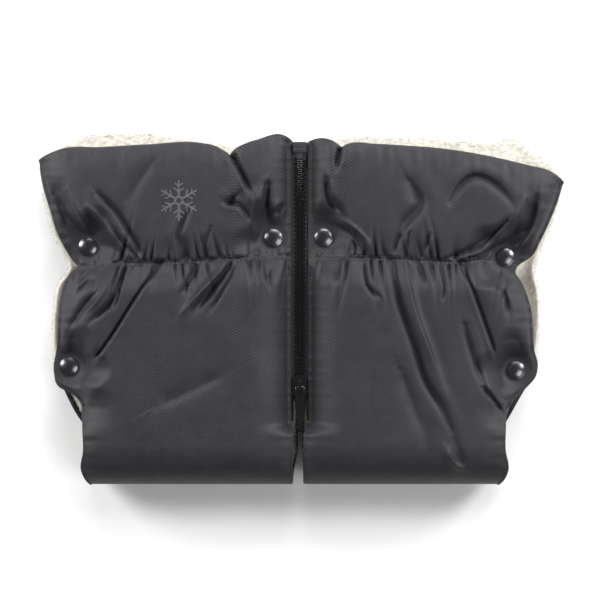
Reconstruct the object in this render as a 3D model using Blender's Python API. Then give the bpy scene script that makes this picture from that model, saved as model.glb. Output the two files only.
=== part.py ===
"""Hand warmer muff for a pram handlebar, lying on its back.

+X runs to the wearer's right along the fold, +Y runs from the fold to the collar and +Z
points up out of the front. The origin is under the middle of the muff, where it rests.
Two padded halves meet at a separating zip. Each half is one strip folded along the
bottom, so it has a front leaf and a back leaf that part at half the thickness. Every
leaf is a sandwich of shell fabric, wadding and fleece lining.
"""

import math

import bmesh
import bpy
from mathutils import Vector
from mathutils.geometry import delaunay_2d_cdt

# Overall sizes, in metres.
MUFF_WIDTH = 0.422
MUFF_HEIGHT = 0.283
MUFF_THICKNESS = 0.060
GAP = 0.0003

# Leaf layers.
SHELL = 0.0012
WADDING_LEAST = 0.0006
LINING_LEAST = 0.0019
LINING_SHARE = 0.35
SEAT = 0.0030  # from the parting plane to a leaf's inner face where it is pressed flat
FOLD_REACH = 0.028  # how far the round of the bottom fold runs up the leaf
BODY_WALL = 0.013
TUNNEL_WALL = 0.006
COLLAR_DROP = 0.004  # the front collar is this much lower than the body
COLLAR_CAVITY = 0.010  # half the height of the hand opening
WAIST_CAVITY = 0.0127
MOUTH_WALL = 0.010
TUNNEL_UP = 0.040  # the handlebar lies between the fold and this height
TUNNEL_FADE = 0.014
TUNNEL_EDGE_WALL = 0.0105  # from the outside of the body down to the tunnel's open edge
PUFF_REACH = 0.040  # from a pressed edge to full height
SEAM_FLAT = 0.006
SIDE_HEM = 0.003
PAD_INSET = 0.003
PAD_INSET_ZIP = 0.005  # beside the zip, clear of the tape
LINING_MOST = 0.005
WAIST_REACH = 0.028  # from the waist channel to full height
MOUTH_REACH = 0.030  # from the collar's top edge to full height
TUNNEL_EDGE_FADE = 0.022
BACK_FLARE_UP = 0.075  # the back leaf widens past the front one from this height
BACK_FLARE = 0.020
FOLD_EDGE_LEAST = 0.0005  # half the shell's depth left at the very bottom of the fold

# Waist channel.
WAIST_UP = 0.1825
WAIST_FALL = 0.0085  # the channel is this much lower at the sides
WAIST_HALF = 0.005
ELASTIC_HALF = 0.0035

# Zip.
SLIT_HALF = 0.0035  # below the zip
SLIT_FLARE = 0.010  # length over which the slit widens to the zip's opening
ZIP_END_UP = 0.0515
TAPE_WIDTH = 0.0070
TAPE_THICKNESS = 0.0006
TAPE_CLEAR = 0.001  # the leaf is flat from this far below the tape's end
TEETH_SLIT = 0.0008  # half the slit that the slider's bridge runs in
TOOTH_PITCH = 0.0036
TOOTH_LONG = 0.0019
TOOTH_CHAMFER = 0.0004
BEAD_WIDTH = 0.0020
TEETH_HEIGHT = 0.0030
ZIP_TOP_DROP = 0.0155  # from the collar's top to the upper end of the tapes
BOX_WIDTH = 0.0105
BOX_LENGTH = 0.0090
BOX_HEIGHT = 0.0048
BOX_WALL = 0.0015
OVERRUN = 0.001  # how far a cutter or a joined end runs past the face it meets
PIN_LENGTH = 0.0220
PIN_WIDTH = 0.0020
SLIDER_WIDTH = 0.0126
ZIP_OPENING = SLIDER_WIDTH / 2 + 0.0009  # from the centre line to the shell's edge
SLIDER_LENGTH = 0.0180
SLIDER_PLATE = 0.0010
SLIDER_SHOULDER = 0.0030  # length of the slanted corners
SLIDER_CORNER = 0.0025  # width of the slanted corners
SLIDER_TAPER = 0.0008  # each side is this much narrower at the top end
SLIDER_PLAY = 0.0003
SLIDER_UP = 0.0705  # lower end of the parked slider above the fold
BRIDGE_LENGTH = 0.0050
BRIDGE_UP = 0.0020
CROWN_WIDTH = 0.0024
CROWN_LENGTH = 0.0090
CROWN_BEHIND = 0.0028  # from the pull tab's axis to the crown's lower end
CROWN_FILLET = 0.0004
CROWN_SHOULDER = 0.0012
CROWN_HOLE_HEIGHT = 0.0026
CROWN_BAR = 0.0014
TAB_WIDTH = 0.0080
TAB_LENGTH = 0.0366
TAB_THICKNESS = 0.0012
TAB_PLAY = 0.0005
TAB_BAR = 0.0008  # half the depth of the cross bar
TAB_WINDOW = 0.0072
TAB_CHAMFER = 0.0012
TAB_SHOULDER = 0.0023
TAB_TAPER = 0.012
TAB_TIP_SIDE = 0.0015
TAB_TIP_ROUND = 0.002
TAB_TIP_INSET = 0.0028
STOP_LENGTH = 0.0028

# Press studs.
CAP_RADIUS = 0.0075
CAP_DOME = 0.0024
CAP_RIM = 0.0008
SHANK_RADIUS = 0.0020
HOLE_RADIUS = 0.0026
SOCKET_RADIUS = 0.0062
SOCKET_HEIGHT = 0.0030
RECESS_RADIUS = 0.0027
RECESS_DEPTH = 0.0024
STUD_RADIUS = 0.0056
STUD_FLANGE = 0.0008
KNOB_RADIUS = 0.0021
POST_RADIUS = 0.0058
SEAT_RADIUS = CAP_RADIUS + 0.0017
SEAT_FADE = 0.018
SEAT_MARGIN = 0.003  # grid points this near a seat give way to its own ring
POINT_SPACING = 0.0025
KNOB_CHAMFER = 0.0004
ROUND_SIDES = 12

MID = MUFF_THICKNESS / 2
FOLD_Y = -MUFF_HEIGHT / 2
SHUT_OUT = SEAT + LINING_LEAST + WADDING_LEAST + SHELL + 2 * GAP
TAPE_LOW = SEAT + LINING_LEAST + GAP
TAPE_MIDDLE = TAPE_LOW + TAPE_THICKNESS / 2
TUNNEL_EDGE_IN = MID - TUNNEL_EDGE_WALL
FRONT, BACK = 1, -1
SIDES = {"left": -1, "right": 1}
FACES = {"front": FRONT, "back": BACK}

# Side outline as (height above the fold, inset from the widest side).
BODY_SIDE = [(0.0, 0.043), (0.012, 0.039), (0.032, 0.041), (0.047, 0.039), (0.058, 0.033),
             (0.070, 0.025), (0.080, 0.015), (0.092, 0.0125), (0.112, 0.016), (0.142, 0.020),
             (0.162, 0.025), (0.1745, 0.034), (0.186, 0.025)]
# The flared collar's side as (depth below the collar's top, inset from the widest side).
COLLAR_SIDE = [(0.081, 0.0165), (0.061, 0.008), (0.041, 0.001), (0.028, 0.0)]
# Top edge as (share of the way from zip to side, depth below the collar's top).
TOP_EDGE = {FRONT: [(0.0, 0.0035), (0.08, 0.002), (0.2, 0.007), (0.4, 0.009), (0.6, 0.012),
                    (0.8, 0.016), (0.94, 0.020), (1.0, 0.030)],
            BACK: [(0.0, 0.006), (0.15, 0.002), (0.3, 0.0), (0.8, 0.0), (0.9, 0.003),
                   (0.96, 0.009), (1.0, 0.024)]}
BACK_PEEK = 0.003  # the back leaf shows this much past the front leaf's sides
BACK_INSET = 0.003  # kept back from the widest side so that the collars end in line

# Press studs as (height above the fold, distance in from the widest side or out from the zip).
OUTER_STUDS = {"upper_outer_left": (0.192, 0.0397), "upper_outer_right": (0.1836, 0.0454),
               "lower_outer_left": (0.0953, 0.0243), "lower_outer_right": (0.0921, 0.0368)}
INNER_STUDS = {"inner_left": (0.1990, 0.0215), "inner_right": (0.1994, 0.0190)}

COLOURS = {"shell": (0.052, 0.052, 0.058), "fleece": (0.80, 0.77, 0.72),
           "wadding": (0.86, 0.86, 0.84), "elastic": (0.70, 0.70, 0.68),
           "zip_black": (0.012, 0.012, 0.013), "stud_metal": (0.05, 0.05, 0.055)}
ROUGHNESS = {"shell": 0.75, "fleece": 0.95, "wadding": 0.95, "elastic": 0.8,
             "zip_black": 0.35, "stud_metal": 0.3}


def ease(value):
    value = min(max(value, 0.0), 1.0)
    return value * value * (3 - 2 * value)


def dome(value):
    value = min(max(value, 0.0), 1.0)
    return math.sqrt(1 - (1 - value) ** 2)


def mix(start, end, share):
    return start + (end - start) * share


def read_curve(points, at):
    """The value at a place along a list of (place, value), straight between its points."""
    if at <= points[0][0]:
        return points[0][1]
    for (low, first), (high, second) in zip(points, points[1:]):
        if at <= high:
            return mix(first, second, (at - low) / (high - low))
    return points[-1][1]


def material(name):
    made = bpy.data.materials.new(name)
    made.use_nodes = True
    shader = made.node_tree.nodes["Principled BSDF"]
    shader.inputs["Base Color"].default_value = (*COLOURS[name], 1)
    shader.inputs["Roughness"].default_value = ROUGHNESS[name]
    shader.inputs["Metallic"].default_value = 1.0 if name == "stud_metal" else 0.0
    return made


def add_object(name, shape, finish, parent=None, smooth=True):
    """Turns a bmesh into a named object, placed in its parent's frame."""
    bmesh.ops.recalc_face_normals(shape, faces=shape.faces)
    data = bpy.data.meshes.new(name)
    shape.to_mesh(data)
    shape.free()
    if smooth:
        data.shade_smooth()
        data.set_sharp_from_angle(angle=math.radians(35))
    data.materials.append(MATERIALS[finish])
    made = bpy.data.objects.new(name, data)
    bpy.context.scene.collection.objects.link(made)
    made.parent = parent
    return made


def add_empty(name, place, parent=None):
    made = bpy.data.objects.new(name, None)
    made.location = place
    made.parent = parent
    bpy.context.scene.collection.objects.link(made)
    return made


# ---- Leaves ----

def waist_y(share):
    return FOLD_Y + WAIST_UP - WAIST_FALL * ease((share - 0.3) / 0.55)


def top_y(face, share):
    return MUFF_HEIGHT / 2 - read_curve(TOP_EDGE[face], share)


def inner_x(y):
    return mix(SLIT_HALF, ZIP_OPENING, ease((y - FOLD_Y - ZIP_END_UP + SLIT_FLARE) / SLIT_FLARE))


def outer_x(face, y):
    outline = BODY_SIDE + [(MUFF_HEIGHT - depth, inset) for depth, inset in COLLAR_SIDE]
    inset = read_curve(outline, y - FOLD_Y)
    if face == BACK:
        above_notch = ease((y - FOLD_Y - BACK_FLARE_UP) / BACK_FLARE)
        inset = max(inset - BACK_PEEK * above_notch, BACK_INSET * above_notch)
    return MUFF_WIDTH / 2 - inset


def stud_places(side_name):
    """Where the press studs of one half are, as (x from the zip line, y)."""
    places = {}
    for name, (up, inset) in OUTER_STUDS.items():
        if name.endswith(side_name):
            places[name] = (MUFF_WIDTH / 2 - inset, FOLD_Y + up)
    for name, (up, out) in INNER_STUDS.items():
        if name.endswith(side_name):
            places[name] = (out, FOLD_Y + up)
    return places


def column_x(face, column, y):
    kind, value = column
    low, high = inner_x(y), outer_x(face, y)
    beside_zip = y > FOLD_Y + ZIP_END_UP - SLIT_FLARE
    pad_start = low + (PAD_INSET_ZIP if beside_zip else PAD_INSET)
    if kind == "inner":
        return mix(low, pad_start, value)
    if kind == "outer":
        return high - value
    return mix(pad_start, high - PAD_INSET, value)


COLUMNS = [("inner", 0.0), ("inner", 1.0), ("share", 0.14), ("share", 0.29), ("share", 0.45),
           ("share", 0.62), ("share", 0.8), ("outer", PAD_INSET), ("outer", 0.0)]
ELASTIC_COLUMNS = (2, 6)
COLUMN_SHARES = [0.0, 0.03, 0.14, 0.29, 0.45, 0.62, 0.8, 0.955, 1.0]
FOLD_ROWS = [0.0, 0.0012, 0.003, 0.006, 0.014, FOLD_REACH]
BODY_ROWS = [TUNNEL_UP, ZIP_END_UP - TAPE_CLEAR, 0.0745, 0.0935, 0.120, 0.148]
COLLAR_SHARES = [0.2, 0.45, 0.74]
PAD_LOW_ROW = 2
LINING_LOW_ROW = 3
BODY_TOP_ROW = len(FOLD_ROWS) + len(BODY_ROWS)
COLLAR_LOW_ROW = BODY_TOP_ROW + 3
COLLAR_TOP_ROW = COLLAR_LOW_ROW + len(COLLAR_SHARES) + 1


def row_y(face, row, share):
    if row < len(FOLD_ROWS):
        return FOLD_Y + FOLD_ROWS[row]
    if row < BODY_TOP_ROW:
        return FOLD_Y + BODY_ROWS[row - len(FOLD_ROWS)]
    waist = waist_y(share)
    if row <= COLLAR_LOW_ROW:
        return waist + [-WAIST_HALF, -ELASTIC_HALF, ELASTIC_HALF, WAIST_HALF][row - BODY_TOP_ROW]
    top = top_y(face, share)
    if row < COLLAR_TOP_ROW:
        return mix(waist + WAIST_HALF, top, COLLAR_SHARES[row - COLLAR_LOW_ROW - 1])
    return top - (PAD_INSET if row == COLLAR_TOP_ROW else 0.0)


def grid_place(face, row, column):
    y = row_y(face, row, COLUMN_SHARES[column])
    return Vector((column_x(face, COLUMNS[column], y), y))


def heights(face, places, x, y):
    """Outer and inner height of a leaf over the parting plane, before the bottom fold."""
    low, high = inner_x(y), outer_x(face, y)
    share = (x - low) / (high - low)
    up = y - FOLD_Y
    waist = waist_y(share)
    tunnel = 1 - ease((up - TUNNEL_UP) / TUNNEL_FADE)
    from_waist = ease((abs(y - waist) - WAIST_HALF) / WAIST_REACH)
    waist_out = WAIST_CAVITY + SHUT_OUT - SEAT
    if y < waist:
        full = MID
        cavity = mix(MID - BODY_WALL, MID - TUNNEL_WALL, tunnel)
    else:
        full = MID if face == BACK else MID - COLLAR_DROP
        cavity = COLLAR_CAVITY
    outside = mix(waist_out, full, from_waist)
    inside = mix(WAIST_CAVITY, cavity, from_waist)
    wall = SHUT_OUT - SEAT
    top_far = dome((top_y(face, share) - y) / MOUTH_REACH)
    outside = mix(COLLAR_CAVITY + MOUTH_WALL, outside, top_far)
    inside = mix(COLLAR_CAVITY, inside, top_far)
    edge_tunnel = 1 - ease((up - TUNNEL_UP) / TUNNEL_EDGE_FADE)
    edge_in = mix(SEAT, TUNNEL_EDGE_IN, edge_tunnel)
    side_far = dome((high - x - SIDE_HEM) / PUFF_REACH)
    outside = mix(edge_in + wall, outside, side_far)
    inside = mix(edge_in, inside, side_far)
    zip_tunnel = 1 - ease((up - TUNNEL_UP) / (ZIP_END_UP - TAPE_CLEAR - TUNNEL_UP))
    zip_in = mix(SEAT, TUNNEL_EDGE_IN, zip_tunnel)
    zip_far = dome((x - low - SEAM_FLAT) / PUFF_REACH)
    outside = mix(zip_in + wall, outside, zip_far)
    inside = mix(zip_in, inside, zip_far)
    for stud_x, stud_y in places.values():
        away = math.hypot(x - stud_x, y - stud_y)
        far = ease((away - SEAT_RADIUS) / SEAT_FADE)
        outside = mix(SHUT_OUT, outside, far)
        inside = mix(SEAT, inside, far)
    return outside, inside


def layer_heights(face, places, x, y):
    """Heights of the seven boundaries of a leaf's layers, from the outside in."""
    outside, inside = heights(face, places, x, y)
    wall = outside - inside
    lining = LINING_LEAST + LINING_SHARE * max(wall - (SHUT_OUT - SEAT), 0.0)
    lining = min(lining, LINING_MOST)
    levels = {"shell_top": outside, "shell_low": outside - SHELL,
              "pad_top": outside - SHELL - GAP, "pad_low": inside + lining + GAP,
              "lining_top": inside + lining, "lining_low": inside}
    up = y - FOLD_Y
    folded = {}
    for name, level in levels.items():
        depth = outside - level
        reach = FOLD_REACH - depth
        round_part = math.sqrt(max(1 - (max(FOLD_REACH - up, 0.0) / reach) ** 2, 0.0))
        folded[name] = max(level * round_part, GAP / 2)
    folded["shell_top"] = max(folded["shell_top"], GAP / 2 + FOLD_EDGE_LEAST)
    return folded


def circle_points(centre, radius, count):
    return [Vector((centre[0] + radius * math.cos(math.tau * step / count),
                    centre[1] + radius * math.sin(math.tau * step / count)))
            for step in range(count)]


def inside_loop(loop, x, y):
    odd = False
    for first, second in zip(loop, loop[1:] + loop[:1]):
        if (first[1] > y) != (second[1] > y):
            cross = first[0] + (y - first[1]) * (second[0] - first[0]) / (second[1] - first[1])
            if x < cross:
                odd = not odd
    return odd


def grid_loop(face, rows, columns):
    """The closed outline of a block of the leaf's grid."""
    low, high = rows
    near, far = columns
    loop = [grid_place(face, low, column) for column in range(near, far + 1)]
    loop += [grid_place(face, row, far) for row in range(low + 1, high + 1)]
    loop += [grid_place(face, high, column) for column in range(far - 1, near - 1, -1)]
    loop += [grid_place(face, row, near) for row in range(high - 1, low, -1)]
    return loop


def seat_crossings(start, end, places):
    """Where a line of the plan enters and leaves the flat seats of the press studs."""
    along = end - start
    shares = []
    for stud in places.values():
        offset = start - Vector(stud)
        half = offset.dot(along) / along.length_squared
        spare = half * half - (offset.length_squared - SEAT_RADIUS ** 2) / along.length_squared
        if spare > 0:
            shares += [-half - math.sqrt(spare), -half + math.sqrt(spare)]
    return [start + along * share for share in sorted(shares) if 0.02 < share < 0.98]


def leaf_plan(face, places):
    """One triangulated plan of a leaf, shared by its layers so that they never cross."""
    last_row = COLLAR_TOP_ROW + 1
    last_column = len(COLUMNS) - 1
    kept_rows = {0, 1, 2, 3, BODY_TOP_ROW, BODY_TOP_ROW + 1, BODY_TOP_ROW + 2, COLLAR_LOW_ROW,
                 COLLAR_TOP_ROW, last_row}
    kept_columns = {0, 1, last_column - 1, last_column}
    points, edges, index = [], [], {}
    for row in range(last_row + 1):
        for column in range(last_column + 1):
            place = grid_place(face, row, column)
            fixed = row in kept_rows or column in kept_columns
            near_stud = min((place - Vector(stud)).length for stud in places.values())
            if fixed or near_stud > SEAT_RADIUS + SEAT_MARGIN:
                index[row, column] = len(points)
                points.append(place)
    lines = []
    for row, column in index:
        if row in kept_rows and (row, column + 1) in index:
            lines.append((index[row, column], index[row, column + 1]))
        if column in kept_columns and (row + 1, column) in index:
            lines.append((index[row, column], index[row + 1, column]))
    for first, last in lines:
        chain = [first]
        for place in seat_crossings(points[first], points[last], places):
            chain.append(len(points))
            points.append(place)
        chain.append(last)
        edges += list(zip(chain, chain[1:]))
    whole = grid_loop(face, (0, last_row), (0, last_column))
    for stud in places.values():
        start = len(points)
        ring = circle_points(stud, HOLE_RADIUS / math.cos(math.pi / 8), 8)
        points += ring
        edges += [(start + step, start + (step + 1) % 8) for step in range(8)]
        for place in circle_points(stud, SEAT_RADIUS, 8):
            if min((place - other).length for other in points) > POINT_SPACING:
                if inside_loop(whole, place.x, place.y):
                    points.append(place)
    result = delaunay_2d_cdt(points, edges, [], 0, 1e-7)
    return [Vector(point) for point in result[0]], result[2]


def layer_solid(name, plan, loop, places, level, face, side, finish):
    """One closed layer: the plan's triangles inside a loop, between two of its levels."""
    points, faces = plan
    chosen = []
    for corners in faces:
        middle = sum((points[corner] for corner in corners), Vector((0, 0))) / 3
        in_hole = any((middle - Vector(stud)).length < HOLE_RADIUS for stud in places.values())
        if inside_loop(loop, middle.x, middle.y) and not in_hole:
            chosen.append(corners)
    shape = bmesh.new()
    upper, lower = {}, {}
    top_name, low_name = level
    for corner in sorted({corner for corners in chosen for corner in corners}):
        x, y = points[corner]
        levels = layer_heights(face, places, x, y)
        upper[corner] = shape.verts.new((side * x, y, MID + face * levels[top_name]))
        lower[corner] = shape.verts.new((side * x, y, MID + face * levels[low_name]))
    uses = {}
    for corners in chosen:
        shape.faces.new([upper[corner] for corner in corners])
        shape.faces.new([lower[corner] for corner in reversed(corners)])
        for first, second in zip(corners, corners[1:] + corners[:1]):
            uses.setdefault(frozenset((first, second)), []).append((first, second))
    for found in uses.values():
        if len(found) == 1:
            first, second = found[0]
            shape.faces.new([upper[second], upper[first], lower[first], lower[second]])
    bmesh.ops.triangulate(shape, faces=shape.faces)
    return add_object(name, shape, finish)


def make_leaf(face_name, side_name):
    face, side = FACES[face_name], SIDES[side_name]
    places = stud_places(side_name)
    plan = leaf_plan(face, places)
    last_row, last = COLLAR_TOP_ROW + 1, len(COLUMNS) - 1
    tail = f"{face_name}_{side_name}"
    pads = {"body_wadding": (PAD_LOW_ROW, BODY_TOP_ROW),
            "collar_wadding": (COLLAR_LOW_ROW, COLLAR_TOP_ROW)}
    elastic_rows = (BODY_TOP_ROW + 1, BODY_TOP_ROW + 2)
    made = [layer_solid(f"shell_{tail}", plan, grid_loop(face, (0, last_row), (0, last)),
                        places, ("shell_top", "shell_low"), face, side, "shell")]
    for name, rows in pads.items():
        made.append(layer_solid(f"{name}_{tail}", plan, grid_loop(face, rows, (1, last - 1)),
                                places, ("pad_top", "pad_low"), face, side, "wadding"))
    made.append(layer_solid(f"elastic_{tail}", plan, grid_loop(face, elastic_rows, ELASTIC_COLUMNS),
                            places, ("pad_top", "pad_low"), face, side, "elastic"))
    made.append(layer_solid(f"lining_{tail}", plan,
                            grid_loop(face, (LINING_LOW_ROW, last_row), (0, last)), places,
                            ("lining_top", "lining_low"), face, side, "fleece"))
    return made


# ---- Press studs ----

def turned(name, outline, centre, finish, parent):
    """A solid of revolution about a vertical axis from (radius, height) points."""
    shape = bmesh.new()
    rings = []
    for radius, height in outline:
        if radius == 0.0:
            rings.append([shape.verts.new((0, 0, height))])
            continue
        rings.append([shape.verts.new((place.x, place.y, height))
                      for place in circle_points((0, 0), radius, ROUND_SIDES)])
    for first, second in zip(rings, rings[1:]):
        for step in range(ROUND_SIDES):
            after = (step + 1) % ROUND_SIDES
            corners = [first[step % len(first)], first[after % len(first)],
                       second[after % len(second)], second[step % len(second)]]
            shape.faces.new(list(dict.fromkeys(corners)))
    made = add_object(name, shape, finish, parent)
    made.location = centre
    return made


def cap_outline():
    """Domed head over a shank that ends above the socket."""
    seat = SHUT_OUT + GAP
    foot = SEAT + GAP
    arc = [(CAP_RADIUS * math.cos(angle), seat + CAP_RIM + (CAP_DOME - CAP_RIM) * math.sin(angle))
           for angle in (math.radians(25 * step) for step in range(1, 4))]
    return [(0.0, foot), (SHANK_RADIUS, foot), (SHANK_RADIUS, seat), (CAP_RADIUS, seat),
            (CAP_RADIUS, seat + CAP_RIM), *arc, (0.0, seat + CAP_DOME)]


def socket_outline():
    top = SEAT - GAP
    low = top - SOCKET_HEIGHT
    return [(0.0, top), (SOCKET_RADIUS, top), (SOCKET_RADIUS, low), (RECESS_RADIUS, low),
            (RECESS_RADIUS, low + RECESS_DEPTH), (0.0, low + RECESS_DEPTH)]


def stud_outline():
    base = -SEAT + GAP
    knob_top = SEAT - GAP - SOCKET_HEIGHT + RECESS_DEPTH - GAP
    return [(0.0, base), (STUD_RADIUS, base), (STUD_RADIUS, base + STUD_FLANGE),
            (KNOB_RADIUS, base + STUD_FLANGE), (KNOB_RADIUS, knob_top - KNOB_CHAMFER),
            (KNOB_RADIUS - KNOB_CHAMFER, knob_top), (0.0, knob_top)]


def post_outline():
    seat = -SHUT_OUT - GAP
    return [(0.0, -SEAT - GAP), (SHANK_RADIUS, -SEAT - GAP), (SHANK_RADIUS, seat),
            (POST_RADIUS, seat), (POST_RADIUS, seat - CAP_RIM), (0.0, seat - CAP_RIM)]


def make_press_studs(front_pivot):
    pieces = {"stud_cap": (cap_outline(), "front"), "stud_socket": (socket_outline(), "front"),
              "stud_knob": (stud_outline(), "back"), "stud_post": (post_outline(), "back")}
    for side_name, side in SIDES.items():
        for stud_name, (x, y) in stud_places(side_name).items():
            for piece, (outline, face_name) in pieces.items():
                place = Vector((side * x, y, MID))
                if face_name == "front":
                    place -= front_pivot.location
                turned(f"{piece}_{stud_name}", outline, place, "stud_metal",
                       front_pivot if face_name == "front" else None)


# ---- Zip ----

def block(shape, low, high):
    """Adds a box between two corners."""
    middle = (Vector(low) + Vector(high)) / 2
    size = Vector(high) - Vector(low)
    made = bmesh.ops.create_cube(shape, size=1.0)["verts"]
    bmesh.ops.scale(shape, vec=size, verts=made)
    bmesh.ops.translate(shape, vec=middle, verts=made)


def extruded(outline, low, high, axis):
    """A prism from a closed list of points, run along Z or along X."""
    shape = bmesh.new()
    if axis == "Z":
        corners = [shape.verts.new((first, second, low)) for first, second in outline]
        shift = Vector((0, 0, high - low))
    else:
        corners = [shape.verts.new((low, first, second)) for first, second in outline]
        shift = Vector((high - low, 0, 0))
    base = shape.faces.new(corners)
    grown = bmesh.ops.extrude_face_region(shape, geom=[base])["geom"]
    moved = [item for item in grown if isinstance(item, bmesh.types.BMVert)]
    bmesh.ops.translate(shape, vec=shift, verts=moved)
    return shape


def hide_tool(made):
    made.hide_render = True
    made.display_type = "WIRE"


def join_by(target, tool, operation):
    hide_tool(tool)
    step = target.modifiers.new(operation.lower(), "BOOLEAN")
    step.operation = operation
    step.solver = "EXACT"
    step.object = tool


ZIP_TOP_Y = MUFF_HEIGHT / 2 - ZIP_TOP_DROP
SLIDER_LOW_Y = FOLD_Y + SLIDER_UP
SLIDER_TOP_Y = SLIDER_LOW_Y + SLIDER_LENGTH
ZIP_Z = MID + TAPE_MIDDLE
BEAD_START = TEETH_SLIT + TOOTH_LONG
TAPE_START = BEAD_START + BEAD_WIDTH + 0.0001
TEETH_LOW_Y = SLIDER_LOW_Y - SLIDER_PLAY
PIN_LOW_Y = ZIP_TOP_Y - PIN_LENGTH + BOX_LENGTH
CHANNEL_HALF = TEETH_HEIGHT / 2 + SLIDER_PLAY
PLATE_TOP = ZIP_Z + CHANNEL_HALF + SLIDER_PLATE
PULL_Y = SLIDER_LOW_Y + 0.0080
PULL_Z = PLATE_TOP + TAB_THICKNESS / 2 + 0.0010


def make_tape(side_name, side):
    low_y = FOLD_Y + ZIP_END_UP
    shape = bmesh.new()
    ends = sorted((side * TAPE_START, side * (TAPE_START + TAPE_WIDTH)))
    low_z = ZIP_Z - TAPE_THICKNESS / 2
    block(shape, (ends[0], low_y, low_z), (ends[1], ZIP_TOP_Y, low_z + TAPE_THICKNESS))
    return add_object(f"zip_tape_{side_name}", shape, "zip_black", smooth=False)


def make_teeth(side_name, side):
    """A bead with one moulded tooth each pitch, the two sides half a pitch apart."""
    top_y = PIN_LOW_Y - GAP
    outline = [(BEAD_START + BEAD_WIDTH, TEETH_LOW_Y), (BEAD_START + BEAD_WIDTH, top_y),
               (BEAD_START, top_y)]
    y = top_y - TOOTH_CHAMFER - (0.0 if side > 0 else TOOTH_PITCH / 2)
    thick = TOOTH_PITCH * 0.5
    while y - thick > TEETH_LOW_Y + TOOTH_CHAMFER / 2:
        outline += [(BEAD_START, y), (TEETH_SLIT, y - TOOTH_CHAMFER),
                    (TEETH_SLIT, y - thick + TOOTH_CHAMFER),
                    (BEAD_START, y - thick)]
        y -= TOOTH_PITCH
    outline.append((BEAD_START, TEETH_LOW_Y))
    half = TEETH_HEIGHT / 2
    shape = extruded([(side * x, y) for x, y in outline], ZIP_Z - half, ZIP_Z + half, "Z")
    bmesh.ops.triangulate(shape, faces=shape.faces)
    return add_object(f"zip_teeth_{side_name}", shape, "zip_black", smooth=False)


def make_stop(side_name, side):
    shape = bmesh.new()
    ends = sorted((side * TEETH_SLIT, side * (BEAD_START + BEAD_WIDTH)))
    high_y = TEETH_LOW_Y - GAP
    half = TEETH_HEIGHT / 2
    block(shape, (ends[0], high_y - STOP_LENGTH, ZIP_Z - half), (ends[1], high_y, ZIP_Z + half))
    return add_object(f"zip_stop_{side_name}", shape, "zip_black", smooth=False)


def make_box_and_pin():
    """The retainer box with a blind slot, and the insertion pin that seats in it."""
    half = BOX_WIDTH / 2
    low_y = ZIP_TOP_Y + GAP
    box = bmesh.new()
    block(box, (-half, low_y, ZIP_Z - BOX_HEIGHT / 2),
          (half, low_y + BOX_LENGTH, ZIP_Z + BOX_HEIGHT / 2))
    box = add_object("zip_retainer_box", box, "zip_black", smooth=False)
    pin_z = TEETH_HEIGHT / 2
    pin_x = BEAD_START + BEAD_WIDTH - PIN_WIDTH
    slot = bmesh.new()
    depth = BOX_LENGTH - BOX_WALL
    block(slot, (pin_x - GAP, low_y - OVERRUN, ZIP_Z - pin_z - GAP),
          (pin_x + PIN_WIDTH + GAP, low_y + depth, ZIP_Z + pin_z + GAP))
    slot = add_object("box_slot_cutter", slot, "zip_black", smooth=False)
    join_by(box, slot, "DIFFERENCE")
    pin = bmesh.new()
    block(pin, (pin_x, PIN_LOW_Y, ZIP_Z - pin_z),
          (pin_x + PIN_WIDTH, low_y + depth - GAP, ZIP_Z + pin_z))
    pin = add_object("zip_insertion_pin", pin, "zip_black", smooth=False)
    fixed = bmesh.new()
    block(fixed, (-pin_x - PIN_WIDTH, PIN_LOW_Y, ZIP_Z - pin_z),
          (-pin_x, low_y + OVERRUN, ZIP_Z + pin_z))
    fixed = add_object("fixed_pin_tool", fixed, "zip_black", smooth=False)
    join_by(box, fixed, "UNION")
    return [box, pin]


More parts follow.
